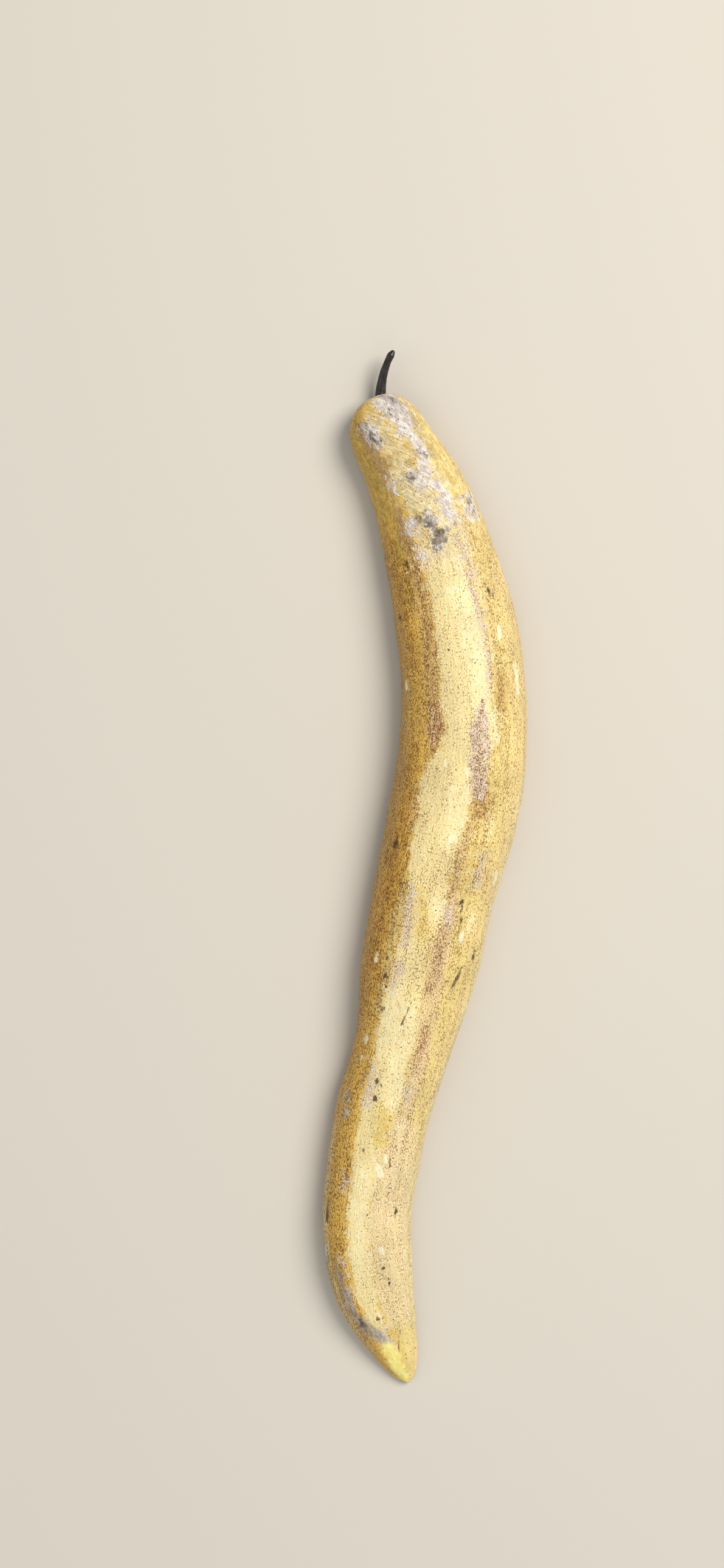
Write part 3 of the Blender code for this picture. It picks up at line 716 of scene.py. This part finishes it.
# the skin's layers of colour, from the lowest up: field, light and dark shade, how far noise moves the edge
# in millimetres, how soft the edge is, and how strongly the layer covers
skinLayers = [
    ("gold", "#F4E29C", "#E2C470", 4.5, 0.9, 0.8),
    ("tan", "#F8E6BA", "#E8CC96", 4.5, 0.8, 0.85),
    ("straw", "#F4E09C", "#DEC076", 5.0, 0.9, 0.85),
    ("olive", "#E0BE5C", "#C09A3A", 6.0, 1.0, 0.85),
    # along the left rim this darker gold is painted shade
    ("shade", "#D2A850", "#A88038", 5.0, 0.9, 0.6),
    ("brown", "#E8C686", "#C49E5A", 5.0, 0.7, 0.95),
    ("rust", "#E2B34C", "#BC8A30", 5.0, 1.0, 0.8),
    ("pale", "#FFF0B6", "#F9E5A6", 4.5, 0.4, 0.97),
    ("blush", "#EED6B2", "#D0A678", 5.0, 0.8, 0.62),
    # painted highlight of the wet sheen, as lighter cream
    ("bright", "#FFF7C8", "#FFEDB0", 5.0, 0.9, 0.85),
    ("hindCream", "#FFF0C4", "#F0DAA8", 5.0, 1.0, 0.8),
    ("lozenge", "#F4E4D4", "#DEC8B2", 4.0, 0.55, 0.92),
    ("ochre", "#F8E080", "#E4C664", 6.0, 1.0, 0.7),
    ("bruise", "#BC9864", "#8E6C42", 5.0, 0.8, 0.7),
    ("creamPatch", "#FFF2C0", "#F6E2A4", 5.0, 0.6, 0.9),
    ("slimeThin", "#F6EAC8", "#D2BC92", 8.0, 1.0, 0.6),
    ("lilac", "#F2E6DA", "#D6C4B0", 6.0, 0.8, 0.75),
    # dried slime, and on the tail's left painted highlight in the same colour
    ("slime", "#FAF6F8", "#D2C8C6", 6.0, 0.6, 0.9),
    ("rimLine", "#FBEFC0", "#EBD690", 1.2, 0.3, 0.75),
]
coverLayers = [
    # the skin's cream spots, and one painted highlight along the right rim
    ("creamSpots", "#FFFADC", "#FFF2C4", 1.6, 0.2, 0.92),
    ("scratches", "#8A6A48", "#5E4630", 0.7, 0.07, 0.88),
    ("darkSpots", "#543A1E", "#2C1A0A", 1.6, 0.14, 0.9),
    ("mud", "#DAD6D2", "#847668", 5.5, 0.3, 0.9),
    ("smear", "#BEB2A4", "#8E8276", 2.5, 0.5, 0.85),
    ("mudDark", "#948878", "#4E4438", 4.5, 0.3, 0.85),
    ("freshTail", "#FFFAA6", "#FFEC7A", 3.0, 0.5, 0.97),
]
# seen from the left flank over the crown to the right flank: darker on the left and lighter on the right,
# partly the skin's own colour and partly painted shade and light, as from a lamp on the right
flankColoursWithLight = [(0.0, "#DEB258"), (0.12, "#EEC45C"), (0.3, "#ECC868"), (0.5, "#EED07A"), (0.75, "#F4DE92"),
                (0.92, "#F2DC98"), (1.0, "#F2DA9C")]
# most flecks are this much narrower than long
fleckStretch = 0.62
# noises in the skin: what each follows, its length and width in millimetres, detail and roughness
skinNoises = {
    "blotch": ("lie", 4.5 / fleckStretch, 4.5, 3.0, 0.5),
    "fray": ("lie", 1.0 / fleckStretch, 1.0, 6.0, 0.75),
    "tone": ("lie", 0.8 / fleckStretch, 0.8, 5.0, 0.7),
    "dots": ("lie", 0.22 / fleckStretch, 0.22, 3.0, 0.75),
    "dashes": ("lie", 0.4, 0.235, 3.0, 0.75),
    "streak": ("comb", 7.7, 1.25, 4.0, 0.6),
    "fibre": ("comb", 2.6, 0.34, 4.0, 0.6),
}
skinPattern = {
    "toneEdges": (0.4, 0.6),
    "speckEdge": 0.04,
    "speckColour": "#9C7A3E",
    "patchTone": 1.6,
    "patchStreak": 1.1,
    "patchFibre": 0.5,
    "patchMiddle": 1.6,
    "sparse": 0.655,
    "dense": 0.435,
    "faint": 0.72,
    "strong": 0.97,
    "poreMm": 0.85,
    "poreHalf": 0.13,
    "poreShare": 0.42,
    "poreColour": "#664A20",
    "poreEdges": (-0.03, 0.05),
    "poreStrength": 0.75,
    "drift": (0.9, 1.06),
    "fibreShadeTint": 0.2,
    "wrinkleShadeTint": 0.75,
    "roughness": (0.36, 0.56),
    "grainMm": 0.45,
    "grainHeight": -0.5,
    "wrinkleHeight": 1.1,
    "wetHeight": 0.6,
    "bumpMm": 0.16,
}
# the wet parts below the mantle: field, dark and light shade, roughness
wetParts = [
    ("belly", "#A48E66", "#C2AC82", 0.42),
    ("soleShare", "#A08A66", "#C4B08C", 0.34),
    ("headShare", "#4E4436", "#7C6C54", 0.3),
    ("stalkShare", "#231F20", "#3A3534", 0.22),
]
wetToneMm = 0.7


def skinMaterial():
    # moist leathery slug skin: ochre to straw yellow, finely speckled with brown, with a soft wet sheen
    material, tree, shader = newMaterial("moistLeatherySkin")
    add = partial(addNode, tree)
    look = skinPattern
    kept = {}
    for name in ("lie", "comb", "sideShare", "speckling", "flank", "wrinkled", "belly"):
        socket = "Vector" if name in ("lie", "comb") else "Fac"
        kept[name] = add("Attribute", {"attribute_name": name}).outputs[socket]
    noises = {}
    for name, (follows, long, wide, detail, roughness) in skinNoises.items():
        spot = add("Mapping", {"Vector": kept[follows], "Scale": (1 / long, 1 / wide, 1)})
        noises[name] = add("TexNoise", {
            "noise_dimensions": "2D", "Vector": spot, "Scale": 1.0, "Detail": detail,
            "Roughness": roughness})
    # the three channels of a noise are three patterns
    fray = add("SeparateColor", {"Color": noises["fray"].outputs["Color"]})
    tone = add("SeparateColor", {"Color": noises["tone"].outputs["Color"]})
    # the ground colour turns from flank to flank, with painted shade on the left and painted light on the
    # right, and long streaks move it
    place = add("Math", {"operation": "MULTIPLY_ADD", 0: kept["sideShare"], 1: 0.5, 2: 0.25})
    place = add("Math", {"operation": "MULTIPLY_ADD", 0: noises["streak"], 1: 0.5, 2: place})
    colour = add("ValToRGB", {"Fac": place})
    ramp = colour.color_ramp
    while len(ramp.elements) < len(flankColoursWithLight):
        ramp.elements.new(0.5)
    for element, (spot, code) in zip(ramp.elements, flankColoursWithLight):
        element.position = spot
        element.color = toLinear(code)

    def lay(colour, number, layer):
        # one marking over the colours below it, of two shades, with a frayed edge
        name, light, dark, breakUp, soft, strength = layer
        channel = number % 3
        field = add("Attribute", {"attribute_name": name}).outputs["Fac"]
        offset = add("Math", {
            "operation": "MULTIPLY_ADD", 0: fray.outputs[channel], 1: breakUp, 2: -breakUp / 2})
        frayed = add("Math", {0: offset, 1: field})
        mask = add("MapRange", {
            "interpolation_type": "SMOOTHSTEP", "Value": frayed, "From Min": -soft, "From Max": soft,
            "To Max": strength})
        shade = add("MapRange", {
            "interpolation_type": "SMOOTHSTEP", "Value": tone.outputs[channel],
            "From Min": look["toneEdges"][0], "From Max": look["toneEdges"][1]})
        shaded = add("Mix", {"data_type": "RGBA", 0: shade, 6: toLinear(dark), 7: toLinear(light)})
        return add("Mix", {"data_type": "RGBA", 0: mask, 6: colour, 7: shaded.outputs[2]}).outputs[2]

    for number, layer in enumerate(skinLayers):
        colour = lay(colour, number, layer)

    # the fine speckling: thicker where the skin is darker, drawn out along the flanks
    patchy = kept["speckling"]
    for pattern, weight in ((tone.outputs[1], "patchTone"), (noises["streak"], "patchStreak"),
                            (noises["fibre"], "patchFibre")):
        patchy = add("Math", {"operation": "MULTIPLY_ADD", 0: pattern, 1: look[weight], 2: patchy})
    threshold = add("MapRange", {
        "Value": patchy, "From Min": look["patchMiddle"], "From Max": look["patchMiddle"] + 1,
        "To Min": look["sparse"], "To Max": look["dense"]})
    speck = add("Mix", {0: kept["flank"], 2: noises["dots"], 3: noises["dashes"]})
    over = add("Math", {"operation": "SUBTRACT", 0: speck, 1: threshold})
    speckMask = add("MapRange", {
        "interpolation_type": "SMOOTHSTEP", "Value": over, "From Min": -look["speckEdge"],
        "From Max": look["speckEdge"]})
    speckShade = add("MapRange", {
        "Value": kept["speckling"], "From Min": 0.2, "From Max": 0.6, "To Min": look["faint"],
        "To Max": look["strong"]})
    speckShare = add("Math", {"operation": "MULTIPLY", 0: speckMask, 1: speckShade})
    colour = add("Mix", {
        "data_type": "RGBA", "blend_type": "MULTIPLY", 0: speckShare, 6: colour,
        7: toLinear(look["speckColour"])}).outputs[2]

    for number, layer in enumerate(coverLayers):
        colour = lay(colour, number, layer)

    # scattered pores, each a tiny dark dot
    pores = add("TexVoronoi", {
        "voronoi_dimensions": "2D", "Vector": kept["lie"], "Scale": 1 / look["poreMm"]})
    poreKind = add("SeparateColor", {"Color": pores.outputs["Color"]})
    poreSize = add("MapRange", {
        "Value": poreKind, "From Min": look["poreShare"], "From Max": 0.0, "To Min": 0.0,
        "To Max": look["poreHalf"] / look["poreMm"]})
    poreEdge = add("Math", {"operation": "SUBTRACT", 0: poreSize, 1: pores})
    poreMask = add("MapRange", {
        "interpolation_type": "SMOOTHSTEP", "Value": poreEdge, "From Min": look["poreEdges"][0],
        "From Max": look["poreEdges"][1], "To Max": look["poreStrength"]})
    colour = add("Mix", {
        "data_type": "RGBA", 0: poreMask, 6: colour, 7: toLinear(look["poreColour"])}).outputs[2]

    # broad light and dark drift, and the fibres that also raise the creases' bump darken and lighten the
    # colour with them: partly the skin's own fine streaks and partly painted shade of the creases,
    # strongest where the skin is wrinkled
    drift = add("MapRange", {
        "Value": noises["blotch"], "From Min": 0.3, "From Max": 0.7, "To Min": look["drift"][0],
        "To Max": look["drift"][1]})
    creaseShading = add("Math", {
        "operation": "MULTIPLY_ADD", 0: kept["wrinkled"], 1: look["wrinkleShadeTint"], 2: look["fibreShadeTint"]})
    fine = add("Math", {"operation": "SUBTRACT", 0: noises["fibre"], 1: 0.5})
    drift = add("Math", {"operation": "MULTIPLY_ADD", 0: fine, 1: creaseShading, 2: drift})
    colour = add("VectorMath", {"operation": "SCALE", 0: colour, "Scale": drift})

    # the wet parts: the underside, the sole, the head and the black stalks
    coords = add("TexCoord")
    wetTone = add("TexNoise", {
        "Vector": coords.outputs["Object"], "Scale": 1 / (wetToneMm * mm), "Detail": 4.0,
        "Roughness": 0.65})
    wetShade = add("MapRange", {"Value": wetTone, "From Min": 0.35, "From Max": 0.65})
    rough = add("MapRange", {
        "Value": fray.outputs[1], "From Min": 0.35, "From Max": 0.65, "To Min": look["roughness"][0],
        "To Max": look["roughness"][1]})
    for name, dark, light, roughness in wetParts:
        share = add("Attribute", {"attribute_name": name}).outputs["Fac"]
        shaded = add("Mix", {"data_type": "RGBA", 0: wetShade, 6: toLinear(dark), 7: toLinear(light)})
        colour = add("Mix", {"data_type": "RGBA", 0: share, 6: colour, 7: shaded.outputs[2]}).outputs[2]
        rough = add("Mix", {0: share, 2: rough, 3: roughness})
    tree.links.new(colour, shader.inputs["Base Color"])
    tree.links.new(rough.outputs[0], shader.inputs["Roughness"])

    # fine pebbled grain, and shallow creases along the body
    pebbled = add("Mapping", {"Vector": kept["lie"], "Scale": (fleckStretch, 1, 1)})
    grain = add("TexVoronoi", {"feature": "SMOOTH_F1", "Vector": pebbled, "Scale": 1 / look["grainMm"]})
    height = add("Math", {
        "operation": "MULTIPLY_ADD", 0: grain, 1: look["grainHeight"], 2: noises["fibre"]})
    ruck = add("Math", {"operation": "MULTIPLY", 0: noises["fibre"], 1: kept["wrinkled"]})
    height = add("Math", {"operation": "MULTIPLY_ADD", 0: ruck, 1: look["wrinkleHeight"], 2: height})
    # none of it crosses the underside, where its two halves would meet in a line
    above = add("Math", {"operation": "SUBTRACT", 0: 1.0, 1: kept["belly"]})
    wetHeight = add("Math", {"operation": "MULTIPLY", 0: wetTone, 1: look["wetHeight"]})
    height = add("Math", {"operation": "MULTIPLY_ADD", 0: height, 1: above, 2: wetHeight})
    bump = add("Bump", {"Strength": 0.8, "Distance": look["bumpMm"] * mm, "Height": height})
    tree.links.new(bump.outputs[0], shader.inputs["Normal"])
    for name, value in (("IOR", 1.42), ("Subsurface Weight", 0.06), ("Subsurface Scale", 0.5 * mm),
                        ("Coat Weight", 0.15), ("Coat Roughness", 0.22)):
        shader.inputs[name].default_value = value
    return material


def buildFoot():
    # the sole: flat underneath, with fine grooves across it
    start = footSizes["start"]
    turnIn = bodyLength - footSizes["endSpace"] - footSizes["rearLength"]
    rear = np.sin(np.linspace(0, math.pi / 2, footSizes["rearSlices"]))[1:]
    rear = turnIn + footSizes["rearLength"] * rear
    first = 1 - np.cos(np.linspace(0, math.pi / 2, footSizes["frontSlices"]))[:-1]
    first = start + footSizes["frontLength"] * first
    straight = np.linspace(start + footSizes["frontLength"], turnIn, footSizes["straightSlices"])
    distances = np.concatenate([first, straight, rear])
    work, ring, turn, middle = tubeMesh(footSizes["around"], len(distances))
    s = distances[ring]
    half = footHalf(s)
    tall = footSizes["height"] / 2
    sine, cosine = np.sin(turn * 2 * math.pi), np.cos(turn * 2 * math.pi)
    across = half * np.sign(sine) * np.abs(sine) ** footSizes["cornerPower"]
    up = tall + tall * np.sign(cosine) * np.abs(cosine) ** footSizes["cornerPower"]
    bow = footSizes["ridgeBow"] * across / np.maximum(half, 0.3)
    groove = 0.5 + 0.5 * np.cos(2 * math.pi * s / footSizes["ridgeSpacing"] + bow)
    ridged = (up < 0.02) & (np.abs(across) < half * footSizes["ridgeShare"])
    up = up + footSizes["ridgeDepth"] * groove * ridged
    across = np.where(middle, 0.0, across)
    up = np.where(middle, tall, up)
    return pieceFrom(work, "sole", placed(s, across, up))


# a lip's row: where it stands across and up, and how far it reaches out
headSizes = {
    "start": 1.8,
    "end": 9.0,
    "half": 3.35,
    "top": 2.95,
    "bottom": 0.35,
    "lengthPower": 0.8,
    "sidePower": 0.85,
    "lips": [(-0.6, 0.72, 0.3), (0.6, 0.72, 0.3), (0.0, 1.38, 0.22)],
    "lipWidth": 0.55,
    "lipTall": 0.28,
    "mouth": 1.02,
    "mouthHalf": 0.95,
    "mouthDroop": 0.12,
    "slitTall": 0.1,
    "slitDepth": 0.42,
    "wrinkle": 0.05,
}


def buildHead():
    # a soft low snout under the mantle's hood, with a slit mouth between two full lips
    head = headSizes
    work = bmesh.new()
    bmesh.ops.create_uvsphere(work, u_segments=96, v_segments=60, radius=1)
    side, forward, up = np.array([vert.co[:] for vert in work.verts]).T
    middle = (head["top"] + head["bottom"]) / 2
    tall = (head["top"] - head["bottom"]) / 2
    length = (head["end"] - head["start"]) / 2
    s = head["start"] + length - length * np.sign(forward) * np.abs(forward) ** head["lengthPower"]
    across = head["half"] * np.sign(side) * np.abs(side) ** head["sidePower"]
    z = middle + tall * np.sign(up) * np.abs(up) ** head["sidePower"]
    front = ease((forward - 0.35) / 0.5)
    for lipSide, lipHeight, reach in head["lips"]:
        away = ((across - lipSide) / head["lipWidth"]) ** 2 + ((z - lipHeight) / head["lipTall"]) ** 2
        s = s - reach * np.exp(-away) * front
    droop = head["mouthDroop"] * (across / head["mouthHalf"]) ** 2
    slit = np.exp(-((z - head["mouth"] + droop) / head["slitTall"]) ** 2)
    slit = slit * (1 - ease((np.abs(across) - head["mouthHalf"] * 0.8) / 0.25))
    s = s + head["slitDepth"] * slit * front
    z = z + head["wrinkle"] * noiseAt(s / 0.9, across / 1.1, z / 0.5)
    across = across + head["wrinkle"] * noiseAt(s / 0.8, z / 0.6, np.full_like(s, 5.3))
    return pieceFrom(work, "head", placed(s, across, z))


# the tentacles: x, y, z and thickness from root to tip, in millimetres
rightTentacle = [
    (-6.95, 75.0, 2.05, 1.7), (-7.1, 76.4, 2.1, 1.75), (-7.15, 77.7, 2.2, 1.85), (-7.0, 79.4, 2.55, 1.6),
    (-6.6, 81.3, 3.0, 1.38), (-5.95, 83.1, 3.35, 1.18), (-5.5, 84.0, 3.5, 1.24), (-5.2, 84.5, 3.56, 0.9),
]
leftTentacle = [
    (-9.4, 73.7, 2.05, 1.75), (-9.75, 74.2, 2.1, 1.75), (-9.95, 74.6, 2.1, 1.7), (-10.15, 74.95, 2.1, 1.6),
    (-10.3, 75.2, 2.1, 1.4), (-10.4, 75.36, 2.1, 0.95),
]
lowerTentacle = [(1.6, 2.6, 0.8, 0.8), (1.75, 1.7, 0.72, 0.72), (1.82, 1.3, 0.7, 0.68),
                 (1.9, 1.0, 0.66, 0.64)]
lowerLobes = [((2.06, 0.86, 0.62), 0.3), ((1.72, 0.9, 0.74), 0.25)]
limbs = {
    "stalkMesh": (28, 60, 0.025),
    "feelerMesh": (20, 20, 0.01),
    "creases": 22,
    "creaseDepth": 0.02,
    "grainMm": 0.35,
    "dome": 0.105,
}


def limbMesh(name, rows, sizes):
    # a round limb that closes in a soft dome
    around, rings, grain = sizes
    work, ring, turn, middle = tubeMesh(around, rings)
    u = ring / (rings - 1)
    last = len(rows) - 1
    table = catmullRom(rows, u * last)
    ahead = catmullRom(rows, np.clip(u * last + 0.02, 0, last))
    behind = catmullRom(rows, np.clip(u * last - 0.02, 0, last))
    along = (ahead - behind)[:, :3]
    along /= np.linalg.norm(along, axis=1)[:, None]
    sideways = np.cross(along, np.array([0.0, 0.0, 1.0]))
    sideways /= np.linalg.norm(sideways, axis=1)[:, None]
    upward = np.cross(sideways, along)
    # shallow rings crease the limb, as on a stalk that rolls in and out
    crease = 0.5 + 0.5 * np.cos(u * 2 * math.pi * limbs["creases"])
    girth = table[:, 3] / 2 * (1 - limbs["creaseDepth"] * crease)
    girth = girth * np.where(middle, 0.0, 1.0)
    angle = turn * 2 * math.pi
    points = table[:, :3] + sideways * (np.cos(angle) * girth)[:, None]
    points = points + upward * (np.sin(angle) * girth)[:, None]
    tip = np.where(middle & (ring == rings - 1), limbs["dome"] * rows[-1][3], 0.0)
    points = points + along * tip[:, None]
    limb = pieceFrom(work, name, points * mm)
    pushOut(limb, grain * noiseAt(*(points / limbs["grainMm"]).T))
    return limb


# an eye: how far it sits back from the tip, its radius, its waist, and how far its front is drawn out
eyeSizes = {
    "sunk": 0.06,
    "radius": 0.43,
    "waist": 0.12,
    "waistPlace": -0.25,
    "waistWidth": 0.22,
    "drawn": 0.1,
    "cloudMm": 0.2,
}


def roundPiece(name, centre, radius, ahead=None):
    # a small soft ball; an eye is drawn out a little towards its front and sits in a shallow waist
    work = bmesh.new()
    bmesh.ops.create_uvsphere(work, u_segments=32, v_segments=20, radius=1)
    points = np.array([vert.co[:] for vert in work.verts])
    if ahead is not None:
        lie = points @ np.array(ahead)
        beside = (lie - eyeSizes["waistPlace"]) / eyeSizes["waistWidth"]
        waist = 1 - eyeSizes["waist"] * np.exp(-beside ** 2)
        points = points * waist[:, None] + np.outer(eyeSizes["drawn"] * np.maximum(lie, 0) ** 2, ahead)
    return pieceFrom(work, name, (points * radius + np.array(centre)) * mm)


def worldOf(spot):
    side, s, z = spot
    return placed(np.array([s]), np.array([side]), np.array([z]))[0] / mm


def joined(base, parts):
    # one closed skin from parts that overlap; only this solver closes it round the thin hood
    for extra in parts:
        step = base.modifiers.new("join", "BOOLEAN")
        step.operation = "UNION"
        step.solver = "MANIFOLD"
        step.object = extra
    graph = bpy.context.evaluated_depsgraph_get()
    mesh = bpy.data.meshes.new_from_object(base.evaluated_get(graph))
    base.modifiers.clear()
    base.data = mesh
    mesh.shade_smooth()
    for extra in parts:
        bpy.data.objects.remove(extra)


def fillSeams(mesh):
    # points that the union adds take the values of their nearest old neighbour
    count = len(mesh.vertices)
    made = np.empty(count)
    mesh.attributes["made"].data.foreach_get("value", made)
    spots = np.empty(count * 3)
    mesh.vertices.foreach_get("co", spots)
    spots = spots.reshape(-1, 3)
    old = np.flatnonzero(made > 0.5)
    fresh = np.flatnonzero(made <= 0.5)
    near = kdtree.KDTree(len(old))
    for place, index in enumerate(old):
        near.insert(spots[index], place)
    near.balance()
    source = old[[near.find(spots[index])[1] for index in fresh]]
    for layer in mesh.attributes:
        if layer.domain != "POINT" or layer.name == "position" or layer.name.startswith("."):
            continue
        wide = {"FLOAT": 1, "FLOAT_VECTOR": 3}.get(layer.data_type)
        if wide is None:
            continue
        key = "value" if wide == 1 else "vector"
        values = np.empty(count * wide)
        layer.data.foreach_get(key, values)
        values = values.reshape(count, wide)
        values[fresh] = values[source]
        layer.data.foreach_set(key, values.ravel())


def dress(piece, material, nodes):
    piece.data.materials.clear()
    piece.data.materials.append(material)
    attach(piece, "root")
    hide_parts(*nodes)


def buildSkin():
    skin = buildMantle()
    print("mantle", len(skin.data.polygons))
    groups = {"soleShare": [buildFoot()], "headShare": [buildHead()], "stalkShare": []}
    for name, rows in (("Right", rightTentacle), ("Left", leftTentacle)):
        groups["stalkShare"].append(limbMesh("stalk" + name, rows, limbs["stalkMesh"]))
    for name, mirror in (("Right", 1), ("Left", -1)):
        rows = [(*worldOf((side * mirror, s, z)), thick) for side, s, z, thick in lowerTentacle]
        groups["headShare"].append(limbMesh("feeler" + name, rows, limbs["feelerMesh"]))
        for (side, s, z), radius in lowerLobes:
            groups["headShare"].append(roundPiece("lobe" + name, worldOf((side * mirror, s, z)), radius))
    names = [layer.name for layer in skin.data.attributes if layer.data_type == "FLOAT"]
    for group in groups:
        keep(skin, group, np.zeros(len(skin.data.vertices)))
    keep(skin, "made", np.ones(len(skin.data.vertices)))
    parts = []
    for group, pieces in groups.items():
        for piece in pieces:
            count = len(piece.data.vertices)
            values = {"made": np.ones(count), "lie": np.zeros((count, 3))}
            for name in names + list(groups):
                values[name] = np.full(count, 1.0 if name == group else 0.0)
            for name, value in values.items():
                keep(piece, name, value)
            parts.append(piece)
    joined(skin, parts)
    fillSeams(skin.data)
    print("skin", len(skin.data.polygons))
    return skin


def buildAll():
    lengths = ["front", "fore", "middle", "hind", "tail"]
    nodes = ["mantle_" + part for part in lengths]
    nodes += ["foot_front", "foot_middle", "foot_rear", "head"]
    nodes += ["tentacle_" + row + "_" + side for row in ("upper", "lower") for side in ("right", "left")]
    dress(buildSkin(), skinMaterial(), nodes)
    # wet black glass-like eyes
    eyeMaterial, tree, shader = newMaterial("glossyEye")
    coords = addNode(tree, "TexCoord")
    cloud = addNode(tree, "TexNoise", {
        "Vector": coords.outputs["Object"], "Scale": 1 / (eyeSizes["cloudMm"] * mm), "Detail": 3.0})
    depth = addNode(tree, "Mix", {
        "data_type": "RGBA", 0: cloud, 6: toLinear("#060505"), 7: toLinear("#15110F")})
    tree.links.new(depth.outputs[2], shader.inputs["Base Color"])
    shader.inputs["Roughness"].default_value = 0.06
    shader.inputs["Coat Weight"].default_value = 0.5
    for name, rows in (("Right", rightTentacle), ("Left", leftTentacle)):
        end = Vector(rows[-1][:3])
        along = (end - Vector(rows[-2][:3])).normalized()
        eye = roundPiece("eye" + name, end - along * eyeSizes["sunk"], eyeSizes["radius"], along)
        dress(eye, eyeMaterial, ["eye_" + name.lower()])
    print("eyes")


stage = {
    "floorHalf": 4.0,
    "floorColour": "#DAD6CE",
    "worldColour": "#F6F4F0",
    "worldStrength": 0.35,
}
lights = [
    # name, place in metres, size, watts, colour
    ("key", (0.42, 0.30, 0.62), 0.5, 5.6, "#FFF8EE"),
    ("fill", (-0.55, -0.1, 0.5), 0.7, 0.8, "#FFFAF2"),
    ("rear", (0.05, -0.6, 0.45), 0.6, 0.8, "#FFFFFF"),
]


def buildStage():
    work = bmesh.new()
    bmesh.ops.create_grid(work, x_segments=1, y_segments=1, size=stage["floorHalf"])
    mesh = bpy.data.meshes.new("floor")
    work.to_mesh(mesh)
    work.free()
    floor = shown("floor", mesh)
    material, _, shader = newMaterial("paleMattBoard")
    shader.inputs["Base Color"].default_value = toLinear(stage["floorColour"])
    shader.inputs["Roughness"].default_value = 0.85
    mesh.materials.append(material)

    camera = bpy.data.cameras.new("camera")
    camera.sensor_fit = "VERTICAL"
    camera.sensor_height = 36.0
    camera.angle_y = math.radians(view["fieldOfView"])
    camera.clip_start = 0.01
    eye = shown("camera", camera)
    eye.location = (viewX * mm, viewY * mm, viewZ * mm)
    bpy.context.scene.camera = eye
    bpy.context.scene.view_settings.view_transform = "Standard"

    for name, place, size, watts, code in lights:
        lamp = bpy.data.lights.new(name, "AREA")
        lamp.shape = "DISK"
        lamp.size = size
        lamp.energy = watts
        lamp.color = toLinear(code)[:3]
        thing = shown(name, lamp)
        thing.location = place
        thing.rotation_euler = (-Vector(place)).to_track_quat("-Z", "Y").to_euler()
    world = bpy.data.worlds.new("world")
    bpy.context.scene.world = world
    world.use_nodes = True
    sky = world.node_tree.nodes["Background"]
    sky.inputs["Color"].default_value = toLinear(stage["worldColour"])
    sky.inputs["Strength"].default_value = stage["worldStrength"]


buildAll()
buildStage()
print("stage")
